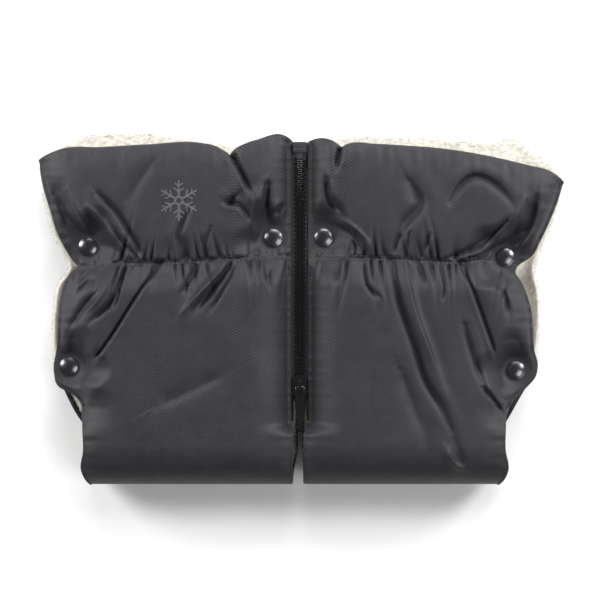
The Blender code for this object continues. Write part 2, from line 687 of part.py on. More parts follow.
def make_slider(parent, origin):
    """Two plates joined by a thin bridge in the slit between the teeth, under a crown."""
    half = SLIDER_WIDTH / 2
    nose = half - SLIDER_CORNER
    far_half, far_nose = half - SLIDER_TAPER, nose - SLIDER_TAPER
    low_shoulder, top_shoulder = SLIDER_LOW_Y + SLIDER_SHOULDER, SLIDER_TOP_Y - SLIDER_SHOULDER
    plan = [(-half, low_shoulder), (-nose, SLIDER_LOW_Y), (nose, SLIDER_LOW_Y),
            (half, low_shoulder), (far_half, top_shoulder), (far_nose, SLIDER_TOP_Y),
            (-far_nose, SLIDER_TOP_Y), (-far_half, top_shoulder)]
    place = [(x, y - origin.y) for x, y in plan]
    zip_z = ZIP_Z - origin.z
    upper = extruded(place, zip_z + CHANNEL_HALF, zip_z + CHANNEL_HALF + SLIDER_PLATE, "Z")
    body = add_object("zip_slider", upper, "zip_black", parent, smooth=False)
    lower = extruded(place, zip_z - CHANNEL_HALF - SLIDER_PLATE, zip_z - CHANNEL_HALF, "Z")
    lower = add_object("slider_lower_tool", lower, "zip_black", parent, smooth=False)
    bridge = bmesh.new()
    low = SLIDER_LOW_Y - origin.y + BRIDGE_UP
    thin = TEETH_SLIT - GAP
    block(bridge, (-thin, low, zip_z - CHANNEL_HALF - SLIDER_PLATE / 2),
          (thin, low + BRIDGE_LENGTH, zip_z + CHANNEL_HALF + SLIDER_PLATE / 2))
    bridge = add_object("slider_bridge_tool", bridge, "zip_black", parent, smooth=False)
    base = zip_z + CHANNEL_HALF + SLIDER_PLATE / 2
    hole_top = PLATE_TOP - origin.z + CROWN_HOLE_HEIGHT
    first = PULL_Y - origin.y - CROWN_BEHIND
    last = first + CROWN_LENGTH
    near_leg, far_leg = first + CROWN_BAR, last - CROWN_BAR
    arch_top = hole_top + CROWN_BAR
    arch = [(first, base), (near_leg, base), (near_leg, hole_top - CROWN_FILLET),
            (near_leg + CROWN_FILLET, hole_top), (far_leg - CROWN_FILLET, hole_top),
            (far_leg, hole_top - CROWN_FILLET), (far_leg, base), (last, base),
            (last, hole_top + CROWN_FILLET), (last - CROWN_SHOULDER, arch_top),
            (first + CROWN_SHOULDER, arch_top), (first, hole_top + CROWN_FILLET)]
    crown = extruded(arch, -CROWN_WIDTH / 2, CROWN_WIDTH / 2, "X")
    crown = add_object("slider_crown_tool", crown, "zip_black", parent, smooth=False)
    for tool in (lower, bridge, crown):
        join_by(body, tool, "UNION")
    return body


def make_pull_tab(parent):
    """A flat tab whose cross bar turns inside the crown. Its origin is on the bar's axis."""
    half = TAB_WIDTH / 2
    window = CROWN_WIDTH / 2 + TAB_PLAY
    tip = TAB_BAR - TAB_LENGTH
    chamfer = half - TAB_CHAMFER
    plan = [(chamfer, TAB_BAR), (-chamfer, TAB_BAR), (-half, TAB_BAR - TAB_SHOULDER),
            (-half, tip + TAB_TAPER), (-half + TAB_TIP_SIDE, tip + TAB_TIP_ROUND),
            (-half + TAB_TIP_INSET, tip), (half - TAB_TIP_INSET, tip),
            (half - TAB_TIP_SIDE, tip + TAB_TIP_ROUND), (half, tip + TAB_TAPER),
            (half, TAB_BAR - TAB_SHOULDER)]
    thick = TAB_THICKNESS / 2
    tab = add_object("zip_pull_tab", extruded(plan, -thick, thick, "Z"), "zip_black", parent,
                     smooth=False)
    window_shape = bmesh.new()
    block(window_shape, (-window, -TAB_WINDOW, -TAB_THICKNESS), (window, -TAB_BAR, TAB_THICKNESS))
    cutter = add_object("tab_window_cutter", window_shape, "zip_black", parent, smooth=False)
    join_by(tab, cutter, "DIFFERENCE")
    return tab


for old in list(bpy.data.objects):
    bpy.data.objects.remove(old)
MATERIALS = {name: material(name) for name in COLOURS}

FRONT_PLACE = Vector((0, FOLD_Y, MID))
SLIDER_PLACE = Vector((0, SLIDER_LOW_Y, ZIP_Z))
PULL_PLACE = Vector((0, PULL_Y, PULL_Z))
FRONT_PIVOT = add_empty("front_fold_axis", FRONT_PLACE)
SLIDER_PIVOT = add_empty("slider_run_start", SLIDER_PLACE - FRONT_PLACE, FRONT_PIVOT)
PULL_PIVOT = add_empty("pull_turn_axis", PULL_PLACE - SLIDER_PLACE, SLIDER_PIVOT)


def hang_on(parent, pieces):
    """Parents pieces that were made in place, without moving them."""
    for piece in pieces:
        piece.parent = parent
        piece.location = -parent.location


for side_name in SIDES:
    hang_on(FRONT_PIVOT, make_leaf("front", side_name))
    make_leaf("back", side_name)
for side_name, side in SIDES.items():
    hang_on(FRONT_PIVOT, [make_tape(side_name, side), make_teeth(side_name, side),
                          make_stop(side_name, side)])
make_press_studs(FRONT_PIVOT)
make_slider(SLIDER_PIVOT, SLIDER_PLACE)
make_pull_tab(PULL_PIVOT)
hang_on(FRONT_PIVOT, make_box_and_pin())
for tool_name in ("box_slot_cutter", "fixed_pin_tool"):
    hang_on(FRONT_PIVOT, [bpy.data.objects[tool_name]])
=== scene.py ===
import math

import bmesh
import bpy
import numpy as np
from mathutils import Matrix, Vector
from mathutils.bvhtree import BVHTree


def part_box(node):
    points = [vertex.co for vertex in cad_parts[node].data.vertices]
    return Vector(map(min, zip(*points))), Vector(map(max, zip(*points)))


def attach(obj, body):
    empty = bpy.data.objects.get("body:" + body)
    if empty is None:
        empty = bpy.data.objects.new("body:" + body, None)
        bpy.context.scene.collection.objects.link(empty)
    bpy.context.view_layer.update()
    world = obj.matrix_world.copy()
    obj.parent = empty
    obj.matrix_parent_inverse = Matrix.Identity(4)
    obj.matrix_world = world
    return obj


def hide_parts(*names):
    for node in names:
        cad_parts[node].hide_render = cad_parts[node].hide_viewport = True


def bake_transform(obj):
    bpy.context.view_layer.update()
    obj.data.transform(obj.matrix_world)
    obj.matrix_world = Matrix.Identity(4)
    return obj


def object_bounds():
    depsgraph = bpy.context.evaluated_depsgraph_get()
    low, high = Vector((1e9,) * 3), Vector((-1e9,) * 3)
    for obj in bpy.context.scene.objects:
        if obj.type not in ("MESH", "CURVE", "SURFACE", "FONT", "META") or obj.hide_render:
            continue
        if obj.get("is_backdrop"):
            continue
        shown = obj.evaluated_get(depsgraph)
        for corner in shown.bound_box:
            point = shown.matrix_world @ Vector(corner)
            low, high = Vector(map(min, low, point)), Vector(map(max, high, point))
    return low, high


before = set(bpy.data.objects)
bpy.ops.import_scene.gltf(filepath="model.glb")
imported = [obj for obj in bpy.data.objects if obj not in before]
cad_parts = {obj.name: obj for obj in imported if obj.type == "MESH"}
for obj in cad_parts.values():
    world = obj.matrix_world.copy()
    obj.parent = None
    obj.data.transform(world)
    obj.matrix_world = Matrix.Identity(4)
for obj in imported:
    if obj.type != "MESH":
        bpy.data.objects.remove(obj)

# A hand warmer muff lying on its back: two padded halves of woven polyester with a
# fleece lining, joined by a moulded zip. Lengths are in metres unless a name says mm.

CAD_LOW, CAD_HIGH = (Vector(corner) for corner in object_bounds())
MM = 0.001
FOLD_Y = CAD_LOW.y
MID = (CAD_LOW.z + CAD_HIGH.z) / 2
HALF_THICK = (CAD_HIGH.z - CAD_LOW.z) / 2
HALF_WIDE = (CAD_HIGH.x - CAD_LOW.x) / 2
SIDES = {"left": -1, "right": 1}
FACES = {"front": 1, "back": -1}
STUD_NAMES = {side: [f"{place}_{side}" for place in ("inner", "upper_outer", "lower_outer")]
              for side in SIDES}


# ---- Small helpers ----

def middle(node_name):
    low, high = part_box(node_name)
    return (low + high) / 2


def ease(value):
    value = np.clip(value, 0.0, 1.0)
    return value * value * (3 - 2 * value)


def dome(value):
    return np.sqrt(1 - (1 - np.clip(value, 0.0, 1.0)) ** 2)


def mix(start, end, share):
    return start + (end - start) * share


def curve_through(points_mm, at):
    """A smooth curve through (place, value) points in mm, read at places in metres."""
    places, values = (np.array(column, float) * MM for column in zip(*points_mm))
    slopes = np.gradient(values, places)
    at = np.clip(at, places[0], places[-1])
    step = np.clip(np.searchsorted(places, at, side="right") - 1, 0, len(places) - 2)
    width = places[step + 1] - places[step]
    t = (at - places[step]) / width
    return ((2 * t**3 - 3 * t**2 + 1) * values[step] + (t**3 - 2 * t**2 + t) * width * slopes[step]
            + (3 * t**2 - 2 * t**3) * values[step + 1] + (t**3 - t**2) * width * slopes[step + 1])


def linear_colour(sheet_hex):
    """An sRGB hex colour as linear RGBA."""
    channels = [int(sheet_hex[place:place + 2], 16) / 255 for place in (1, 3, 5)]
    return tuple(c / 12.92 if c <= 0.04045 else ((c + 0.055) / 1.055) ** 2.4
                 for c in channels) + (1.0,)


def new_object(name, data):
    made = bpy.data.objects.new(name, data)
    bpy.context.scene.collection.objects.link(made)
    return made


def mesh_object(name, points, faces, finish, smooth=True):
    data = bpy.data.meshes.new(name)
    data.from_pydata([tuple(point) for point in points], [], faces)
    data.update()
    if smooth:
        data.shade_smooth()
    data.materials.append(finish)
    return new_object(name, data)


def bmesh_object(name, shape, finish, sharp_angle=35):
    bmesh.ops.recalc_face_normals(shape, faces=shape.faces)
    data = bpy.data.meshes.new(name)
    shape.to_mesh(data)
    shape.free()
    data.shade_smooth()
    data.set_sharp_from_angle(angle=math.radians(sharp_angle))
    data.materials.append(finish)
    return new_object(name, data)


def bake_modifiers(made):
    """Replaces an object's mesh by its evaluated one, and removes the modifiers."""
    graph = bpy.context.evaluated_depsgraph_get()
    data = bpy.data.meshes.new_from_object(made.evaluated_get(graph), depsgraph=graph)
    made.modifiers.clear()
    made.data = data
    return made


def circle(steps):
    """Angles evenly round a circle."""
    return [2 * math.pi * step / steps for step in range(steps)]


def join_rings(shape, rings):
    """Faces between each ring of corners and the next one; a ring may be a single corner."""
    for first, second in zip(rings, rings[1:]):
        steps = max(len(first), len(second))
        for step in range(steps):
            after = (step + 1) % steps
            corners = [first[step % len(first)], first[after % len(first)],
                       second[after % len(second)], second[step % len(second)]]
            shape.faces.new(list(dict.fromkeys(corners)))


def settle(made, body, slot, *nodes):
    """Puts a finished piece on its body, in the place of CAD nodes; its colour slot is not used."""
    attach(made, body)
    if nodes:
        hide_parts(*nodes)
    return made


# ---- Materials ----

def add_node(tree, kind, settings=None, **links):
    """Adds a node. A link's key is the input's name with _ for a space, or in0, in1 by number."""
    made = tree.nodes.new(kind)
    for key, value in (settings or {}).items():
        setattr(made, key, value)
    for key, value in links.items():
        number = key[2:]
        socket = made.inputs[int(number)] if number.isdigit() else made.inputs[key.replace("_", " ")]
        if isinstance(value, bpy.types.NodeSocket):
            tree.links.new(value, socket)
        else:
            socket.default_value = value
    return made


def start_material(name, **shader_values):
    made = bpy.data.materials.new(name)
    made.use_nodes = True
    shader = made.node_tree.nodes["Principled BSDF"]
    for key, value in shader_values.items():
        shader.inputs[key.replace("_", " ")].default_value = value
    return made, made.node_tree, shader


def noise_in(tree, scale, detail, **more):
    """Noise in the piece's own coordinates, scale cycles to the metre."""
    place = add_node(tree, "ShaderNodeTexCoord").outputs["Object"]
    return add_node(tree, "ShaderNodeTexNoise", Vector=place, Scale=scale, Detail=detail,
                    **more).outputs["Fac"]


def stretched(tree, value, **limits):
    return add_node(tree, "ShaderNodeMapRange", Value=value, **limits).outputs[0]


def tint(tree, shader, share, first, second):
    """Colours the surface between two sRGB hex colours."""
    made = add_node(tree, "ShaderNodeMix", {"data_type": "RGBA"})
    tree.links.new(share, made.inputs[0])
    made.inputs[6].default_value = linear_colour(first)
    made.inputs[7].default_value = linear_colour(second)
    tree.links.new(made.outputs[2], shader.inputs["Base Color"])


def emboss(tree, shader, height, strength, depth):
    bump = add_node(tree, "ShaderNodeBump", Strength=strength, Distance=depth, Height=height)
    tree.links.new(bump.outputs[0], shader.inputs["Normal"])


def woven_polyester():
    """600 denier polyester in an oxford weave: matt, dark charcoal, with a fine diagonal
    grain of thread bundles 1.3 mm apart."""
    spacing = 1.3 * MM
    made, tree, shader = start_material("woven_polyester_oxford", Roughness=0.55, Sheen_Weight=0.12,
                                        Sheen_Roughness=0.4, Specular_IOR_Level=0.33)
    shader.inputs["Sheen Tint"].default_value = linear_colour("#8F8F9A")
    place = add_node(tree, "ShaderNodeUVMap", {"uv_map": "cloth"}).outputs[0]
    split = add_node(tree, "ShaderNodeSeparateXYZ", Vector=place)
    waves = []
    for output in split.outputs[:2]:
        scaled = add_node(tree, "ShaderNodeMath", {"operation": "MULTIPLY"}, in0=output,
                          in1=math.pi / spacing)
        waves.append(add_node(tree, "ShaderNodeMath", {"operation": "SINE"},
                              in0=scaled.outputs[0]).outputs[0])
    cross = add_node(tree, "ShaderNodeMath", {"operation": "MULTIPLY"}, in0=waves[0], in1=waves[1])
    level = add_node(tree, "ShaderNodeMath", {"operation": "MULTIPLY_ADD"},
                     in0=cross.outputs[0], in1=0.5, in2=0.5).outputs[0]
    slub = add_node(tree, "ShaderNodeTexNoise", Vector=place, Scale=90.0, Detail=3.0,
                    Roughness=0.6).outputs["Fac"]
    grain = add_node(tree, "ShaderNodeMath", {"operation": "MULTIPLY_ADD"}, in0=slub, in1=0.6,
                     in2=level).outputs[0]
    tint(tree, shader, stretched(tree, grain, From_Min=0.2, From_Max=1.3), "#060507", "#343237")
    emboss(tree, shader, grain, 0.7, 0.25 * MM)
    return made


def fleece_pile():
    """Knitted polyester fleece with a brushed cream pile: soft, bright, no gloss."""
    made, tree, shader = start_material("brushed_fleece_pile", Roughness=0.95, Sheen_Weight=0.5,
                                        Sheen_Roughness=0.6, Specular_IOR_Level=0.15)
    clumps = noise_in(tree, 260.0, 4.0, Roughness=0.65)
    tint(tree, shader, stretched(tree, clumps, From_Min=0.35, From_Max=0.6), "#C2BDB4", "#DAD6CE")
    emboss(tree, shader, clumps, 0.4, 0.8 * MM)
    return made


def zip_tape_weave():
    """Woven polyester zip tape: black, with fine ribs along and across it."""
    made, tree, shader = start_material("zip_tape_weave", Roughness=0.7, Sheen_Weight=0.2)
    place = add_node(tree, "ShaderNodeTexCoord").outputs["Object"]
    ribs, weft = [add_node(tree, "ShaderNodeTexWave", {"wave_type": "BANDS", "bands_direction": way},
                           Vector=place, Scale=scale, Distortion=bend).outputs["Fac"]
                  for way, scale, bend in (("X", 450.0, 0.4), ("Y", 300.0, 0.3))]
    both = add_node(tree, "ShaderNodeMath", {"operation": "MULTIPLY"}, in0=ribs, in1=weft).outputs[0]
    tint(tree, shader, both, "#08080A", "#151518")
    emboss(tree, shader, both, 0.5, 0.2 * MM)
    return made


def moulded_acetal(name, dark, light):
    """Injection moulded acetal: waxy gloss, faint flow marks."""
    made, tree, shader = start_material(name, Roughness=0.32, IOR=1.48)
    marks = noise_in(tree, 900.0, 2.0)
    tint(tree, shader, marks, dark, light)
    tree.links.new(stretched(tree, marks, To_Min=0.16, To_Max=0.26), shader.inputs["Roughness"])
    emboss(tree, shader, marks, 0.1, 0.05 * MM)
    return made


def enamelled_zinc():
    """Die cast zinc under black enamel: glossy, slightly orange-peeled, uneven in tone."""
    made, tree, shader = start_material("black_enamel_on_zinc", Roughness=0.22, Coat_Weight=0.5,
                                        Coat_Roughness=0.12)
    tint(tree, shader, noise_in(tree, 220.0, 5.0), "#050506", "#0C0C0E")
    emboss(tree, shader, noise_in(tree, 1400.0, 1.5), 0.15, 0.05 * MM)
    return made


def gunmetal_plate():
    """Pressed brass plated in dark nickel: satin, neutral grey reflections."""
    made, tree, shader = start_material("dark_nickel_plate", Metallic=1.0, Roughness=0.3)
    haze = noise_in(tree, 500.0, 4.0)
    tint(tree, shader, haze, "#58585C", "#6A6A6F")
    tree.links.new(stretched(tree, haze, To_Min=0.18, To_Max=0.30), shader.inputs["Roughness"])
    return made


def sewing_thread():
    """Spun polyester thread, charcoal, with the fine slanted bands of its twist."""
    made, tree, shader = start_material("spun_polyester_thread", Roughness=0.7, Sheen_Weight=0.3)
    place = add_node(tree, "ShaderNodeTexCoord").outputs["Object"]
    twist = add_node(tree, "ShaderNodeTexWave", {"bands_direction": "DIAGONAL"}, Vector=place,
                     Scale=600.0).outputs["Fac"]
    tint(tree, shader, twist, "#36363A", "#5A5A60")
    return made


def satin_thread():
    """Rayon embroidery thread, a tone lighter than the cloth, with a silky shine."""
    made, tree, shader = start_material("rayon_embroidery_thread", Roughness=0.38, Sheen_Weight=0.4,
                                        Specular_IOR_Level=0.6)
    tint(tree, shader, noise_in(tree, 700.0, 2.0), "#333338", "#515158")
    return made


def studio_paper():
    """Matt white paper roll with a barely visible tooth."""
    made, tree, shader = start_material("matt_paper", Roughness=0.9, Specular_IOR_Level=0.1)
    tint(tree, shader, noise_in(tree, 60.0, 3.0), "#FBFBFB", "#FFFFFF")
    return made


CLOTH = woven_polyester()
FLEECE = fleece_pile()
TAPE = zip_tape_weave()
ACETAL = moulded_acetal("black_acetal", "#070708", "#111113")
# A lighter copy of the black acetal: painted sheen, standing in for the light the box's faces reflect.
SHEEN_PAINTED_ACETAL = moulded_acetal("acetal_painted_sheen", "#28282C", "#4A4A4F")
ENAMEL = enamelled_zinc()
PLATE = gunmetal_plate()
THREAD = sewing_thread()
SATIN = satin_thread()


# ---- Geometry Nodes ----

def tree_with(name, inputs):
    """A Geometry Nodes tree with a mesh in and out and the named number inputs."""
    tree = bpy.data.node_groups.new(name, "GeometryNodeTree")
    tree.interface.new_socket("Mesh", in_out="INPUT", socket_type="NodeSocketGeometry")
    tree.interface.new_socket("Mesh", in_out="OUTPUT", socket_type="NodeSocketGeometry")
    for label, kind in inputs.items():
        tree.interface.new_socket(label, in_out="INPUT", socket_type=kind)
    return tree, tree.nodes.new("NodeGroupInput"), tree.nodes.new("NodeGroupOutput")


def grow(made, tree, values):
    """Runs a tree on an object with its named inputs set, and keeps the mesh it makes."""
    step = made.modifiers.new("grow", "NODES")
    step.node_group = tree
    for item in tree.interface.items_tree:
        if item.item_type == "SOCKET" and item.in_out == "INPUT" and item.name in values:
            step[item.identifier] = values[item.name]
    return bake_modifiers(made)


def noise_turn(tree, seed, most):
    """A random Euler turn for each point, up to most radians."""
    made = add_node(tree, "FunctionNodeRandomValue", {"data_type": "FLOAT_VECTOR"}, Seed=seed)
    made.inputs[0].default_value = (-most[0], -most[1], -most[2])
    made.inputs[1].default_value = most
    return made.outputs[0]


def copies_of(tree, piece, points, **turns):
    """Real copies of a piece on points."""
    one = add_node(tree, "GeometryNodeObjectInfo", Object=piece)
    row = add_node(tree, "GeometryNodeInstanceOnPoints", Points=points,
                   Instance=one.outputs["Geometry"], **turns)
    return add_node(tree, "GeometryNodeRealizeInstances", Geometry=row.outputs[0]).outputs[0]


def finish_tree(tree, kept, mesh, finish):
    coloured = add_node(tree, "GeometryNodeSetMaterial", Geometry=mesh, Material=finish)
    tree.links.new(coloured.outputs[0], kept.inputs[0])
    return tree


def named(tree, name, kind):
    """The points' attribute of that name."""
    return add_node(tree, "GeometryNodeInputNamedAttribute", {"data_type": kind},
                    Name=name).outputs["Attribute"]


def tuft_tree(tuft):
    """Scatters tufts by the pile attribute and stands them along the surface's normal."""
    tree, given, kept = tree_with("pile_tufts", {"Density": "NodeSocketFloat",
                                                 "Seed": "NodeSocketInt"})
    number = add_node(tree, "ShaderNodeMath", {"operation": "MULTIPLY"},
                      in0=named(tree, "pile", "FLOAT"), in1=given.outputs["Density"])
    scatter = add_node(tree, "GeometryNodeDistributePointsOnFaces", Mesh=given.outputs["Mesh"],
                       Density=number.outputs[0], Seed=given.outputs["Seed"])
    lean = add_node(tree, "FunctionNodeRotateEuler", {"rotation_type": "EULER", "space": "LOCAL"},
                    Rotation=scatter.outputs["Rotation"],
                    Rotate_By=noise_turn(tree, 3, (0.6, 0.6, 3.2)))
    size = add_node(tree, "FunctionNodeRandomValue", {"data_type": "FLOAT"}, Seed=8)
    size.inputs[2].default_value = 0.45
    size.inputs[3].default_value = 0.9
    pile = copies_of(tree, tuft, scatter.outputs["Points"], Rotation=lean.outputs[0],
                     Scale=size.outputs[1])
    both = add_node(tree, "GeometryNodeJoinGeometry")
    tree.links.new(pile, both.inputs[0])
    tree.links.new(given.outputs["Mesh"], both.inputs[0])
    return finish_tree(tree, kept, both.outputs[0], FLEECE)


def stitch_tree(stitch, finish):
    """Lays one stitch on each point, turned along its run and stretched to its length."""
    tree, given, kept = tree_with("sewn_stitches", {"Thickness": "NodeSocketFloat"})
    turn = add_node(tree, "FunctionNodeAlignEulerToVector", {"axis": "X"},
                    Vector=named(tree, "run", "FLOAT_VECTOR"))
    size = add_node(tree, "ShaderNodeCombineXYZ", X=named(tree, "long", "FLOAT"),
                    Y=given.outputs["Thickness"], Z=given.outputs["Thickness"])
    spots = add_node(tree, "GeometryNodeMeshToPoints", Mesh=given.outputs["Mesh"])
    laid = copies_of(tree, stitch, spots.outputs[0], Rotation=turn.outputs[0], Scale=size.outputs[0])
    return finish_tree(tree, kept, laid, finish)


def tuft_mesh():
    """A tapering curl of pile about 2.6 mm long."""
    shape = bmesh.new()
    rings = [[shape.verts.new(((radius * math.cos(turn) + lean) * MM, radius * math.sin(turn) * MM,
                               height * MM)) for turn in circle(3)]
             for height, radius, lean in ((-0.3, 0.30, 0.0), (1.1, 0.24, 0.15), (2.1, 0.13, 0.6))]
    tip = shape.verts.new((1.25 * MM, 0, 2.6 * MM))
    join_rings(shape, [*rings, [tip]])
    shape.faces.new(rings[0][::-1])
    return bmesh_object("tuft", shape, FLEECE, sharp_angle=180)


def stitch_mesh(finish):
    """A thread lying from -0.5 to 0.5 along X, its ends dipping into the cloth."""
    shape = bmesh.new()
    rings = [[shape.verts.new((along, radius * math.cos(turn), height + radius * math.sin(turn)))
              for turn in circle(6)]
             for along, radius, height in ((-0.5, 0.35, -0.9), (-0.42, 0.85, 0.1), (-0.2, 1.0, 0.55),
                                           (0.2, 1.0, 0.55), (0.42, 0.85, 0.1), (0.5, 0.35, -0.9))]
    join_rings(shape, rings)
    shape.faces.new(rings[0][::-1])
    shape.faces.new(rings[-1])
    return bmesh_object("stitch", shape, finish, sharp_angle=180)


# ---- Camera, light and floor ----

def look_from_above():
    """A long lens straight over the muff, level with its sides."""
    field = 486 * MM
    distance = 2.2
    camera = bpy.data.cameras.new("camera")
    camera.lens = camera.sensor_width * distance / field
    camera.clip_end = 20
    made = new_object("camera", camera)
    made.location = (0, 7.5 * MM, MID + distance)
    bpy.context.scene.camera = made


def soft_box(name, place, size, power):
    light = bpy.data.lights.new(name, "AREA")
    light.shape = "RECTANGLE"
    light.size, light.size_y = size
    light.energy = power
    made = new_object(name, light)
    made.location = place
    made.rotation_euler = (Vector((0, 0, 0)) - Vector(place)).to_track_quat("-Z", "Y").to_euler()


def light_the_set():
    soft_box("left_soft_box", (-1.2, 0.5, 0.75), (0.5, 0.9), 22)
    soft_box("right_soft_box", (1.2, 0.7, 0.8), (0.5, 0.9), 22)
    soft_box("top_soft_box", (0.2, 1.4, 1.0), (1.4, 0.5), 22)
    soft_box("near_soft_box", (0.8, -0.5, 1.35), (0.8, 0.6), 7)
    world = bpy.data.worlds.new("white_room")
    world.use_nodes = True
    world.node_tree.nodes["Background"].inputs[0].default_value = (1, 1, 1, 1)
    world.node_tree.nodes["Background"].inputs[1].default_value = 0.17
    bpy.context.scene.world = world
    bpy.context.scene.view_settings.view_transform = "Standard"
    shape = bmesh.new()
    bmesh.ops.create_grid(shape, x_segments=1, y_segments=1, size=3.0)
    bmesh.ops.translate(shape, vec=(0, 0, -0.5 * MM), verts=shape.verts)
    bmesh_object("paper_floor", shape, studio_paper())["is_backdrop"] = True


look_from_above()
light_the_set()


# ---- The pattern of one half, in mm ----

# Side edge of the front leaf as (y, distance from the zip line).
FRONT_SIDE_MM = {
    "left": [(-142, 170), (-137, 173.5), (-130, 176), (-114, 174), (-98, 174.5), (-84, 176),
             (-74, 177.5), (-67, 184), (-61, 195), (-52, 198.5), (-29, 196), (0, 194.5), (15, 192),
             (27, 186.5), (34, 179.5), (42, 185), (60, 195), (80, 201.5), (100, 207.5),
             (118, 210), (130, 208)],
    "right": [(-142, 161), (-137, 165), (-130, 167.5), (-114, 165), (-98, 165), (-84, 167),
              (-74, 172), (-63, 182), (-54, 190), (-45, 192), (-33, 189), (-17, 188),
              (0, 186.5), (19, 180), (31, 174), (37, 177), (44, 187), (56, 194), (76, 203.5),
              (94, 210), (103, 212), (120, 208)]}
# Top edge of the front leaf as (distance from the zip line, y), with its notches.
FRONT_TOP_MM = {
    "left": [(7, 135), (12, 139.5), (17, 141.3), (24, 140), (31, 137.5), (42, 134), (50, 129.5),
             (55.5, 123.5), (62, 127.5), (69, 131.5), (81, 134), (122, 132.7), (162, 130.5),
             (190, 129.5), (200, 126), (210, 121)],
    "right": [(5, 134), (10, 136.5), (17, 138), (24, 136.5), (29, 133), (33, 130.5), (40, 133.5),
              (60, 133.2), (81, 132), (113, 129.5), (140, 125.5), (162, 121), (185, 115.5),
              (199, 112), (207, 107), (213, 101)]}
# The back leaf shows past the front one where its fleece peeks out.
BACK_SIDE_MM = {
    "left": [(-142, 170), (-130, 174), (-114, 173), (-98, 175), (-84, 183), (-70, 190),
             (-58, 195), (-29, 199.5), (0, 198.5), (20, 195), (33, 186), (44, 190), (60, 198),
             (80, 204), (100, 208), (118, 209), (130, 203), (137, 193)],
    "right": [(-142, 161), (-130, 166), (-114, 164), (-98, 166), (-84, 172.5), (-70, 180),
              (-56, 188), (-33, 191.5), (0, 194), (20, 192), (32, 189), (44, 192), (56, 197),
              (76, 205), (94, 210.5), (108, 211), (120, 206), (130, 196)]}
BACK_TOP_MM = {
    "left": [(4, 132), (30, 132), (62, 132), (76, 135.5), (100, 137.5), (112, 141), (140, 142),
             (165, 141.5), (180, 137), (193, 131), (205, 124), (212, 116)],
    "right": [(4, 130), (20, 133), (32, 137.5), (45, 139), (80, 138.5), (120, 136.5),
              (160, 134.5), (180, 134), (183, 128), (193, 123), (202, 116), (212, 106)]}
# The gathered waist as (distance from the zip line, y).
WAIST_MM = {
    "left": [(0, 43), (9, 43), (53, 41), (105, 38), (150, 37), (180, 34), (215, 32)],
    "right": [(0, 42), (8, 42), (64, 41), (97, 39.5), (129, 38.5), (150, 40), (176, 37), (215, 35)]}
ZIP_EDGE_MM = {"left": 7.4, "right": 6.6}
SLIT_EDGE_MM = {"left": 5.6, "right": 2.6}
SLIT_TOP = FOLD_Y + 40 * MM
BACK_EDGE = 1.9 * MM

FOLD_REACH = 34 * MM
PRESSED_OUT = 7.3 * MM  # outer face over the parting plane where a leaf is pressed flat
PRESSED_IN = 3.0 * MM
TUNNEL_EDGE_IN = 19.0 * MM
TUNNEL_EDGE_WALL = 4.6 * MM


def studs_of(side_name):
    """Press stud places of one half, mirrored to the right."""
    sign = SIDES[side_name]
    return [(sign * middle(f"stud_cap_{name}").x, middle(f"stud_cap_{name}").y)
            for name in STUD_NAMES[side_name]]


def inner_edge(side_name, face, y):
    if face < 0:
        return np.full_like(y, BACK_EDGE)
    share = ease((y - SLIT_TOP) / (12 * MM))
    return mix(SLIT_EDGE_MM[side_name] * MM, ZIP_EDGE_MM[side_name] * MM, share)


def side_edge(side_name, face, y):
    table = FRONT_SIDE_MM if face > 0 else BACK_SIDE_MM
    return curve_through(table[side_name], y)


def top_edge(side_name, face, x):
    table = FRONT_TOP_MM if face > 0 else BACK_TOP_MM
    return curve_through(table[side_name], x)


def waist_line(side_name, x):
    return curve_through(WAIST_MM[side_name], x)


def leaf_heights(side_name, face, x, y):
    """Heights of a leaf's outer and inner face over the parting plane."""
    up = y - FOLD_Y
    waist = waist_line(side_name, x)
    from_waist = np.abs(y - waist) - 1.0 * MM
    from_waist = 0.55 * dome(from_waist / (30 * MM)) + 0.45 * ease(from_waist / (24 * MM))
    below = y < waist
    tunnel = 1 - ease((up - 40 * MM) / (16 * MM))
    collar_drop = 3.5 * MM if face > 0 else 0.0
    full = np.where(below, HALF_THICK - 0.4 * MM, HALF_THICK - 0.4 * MM - collar_drop)
    waist_out = 20.5 * MM
    cavity = np.where(below, mix(17 * MM, 23.5 * MM, tunnel), 10 * MM)
    waist_in = 12.5 * MM
    outside = mix(waist_out, full, from_waist)
    inside = mix(waist_in, cavity, from_waist)
    top_far = dome((top_edge(side_name, face, x) - y) / (30 * MM))
    outside = mix(19 * MM, outside, top_far)
    inside = mix(10 * MM, inside, top_far)
    edge_tunnel = 1 - ease((up - 40 * MM) / (24 * MM))
    edge_in = mix(PRESSED_IN, TUNNEL_EDGE_IN, edge_tunnel)
    side_far = dome((side_edge(side_name, face, y) - x - 2 * MM) / (38 * MM))
    outside = mix(edge_in + TUNNEL_EDGE_WALL, outside, side_far)
    inside = mix(edge_in, inside, side_far)
    zip_tunnel = 1 - ease((up - 40 * MM) / (11 * MM))
    zip_in = mix(PRESSED_IN, TUNNEL_EDGE_IN, zip_tunnel)
    zip_far = dome((x - inner_edge(side_name, face, y) - 3 * MM) / (34 * MM))
    outside = mix(zip_in + TUNNEL_EDGE_WALL, outside, zip_far)
    inside = mix(zip_in, inside, zip_far)
    for stud_x, stud_y in studs_of(side_name):
        away = np.hypot(x - stud_x, y - stud_y)
        ragged = 1 + 0.16 * np.sin(5 * np.arctan2(y - stud_y, x - stud_x) + 90 * stud_x / HALF_WIDE)
        far = ease((away - 8.2 * MM) / (26 * MM * ragged)) ** 0.8
        outside = mix(PRESSED_OUT, outside, far)
        inside = mix(PRESSED_IN, inside, ease((away - 8.4 * MM) / (17 * MM)))
    return outside, inside


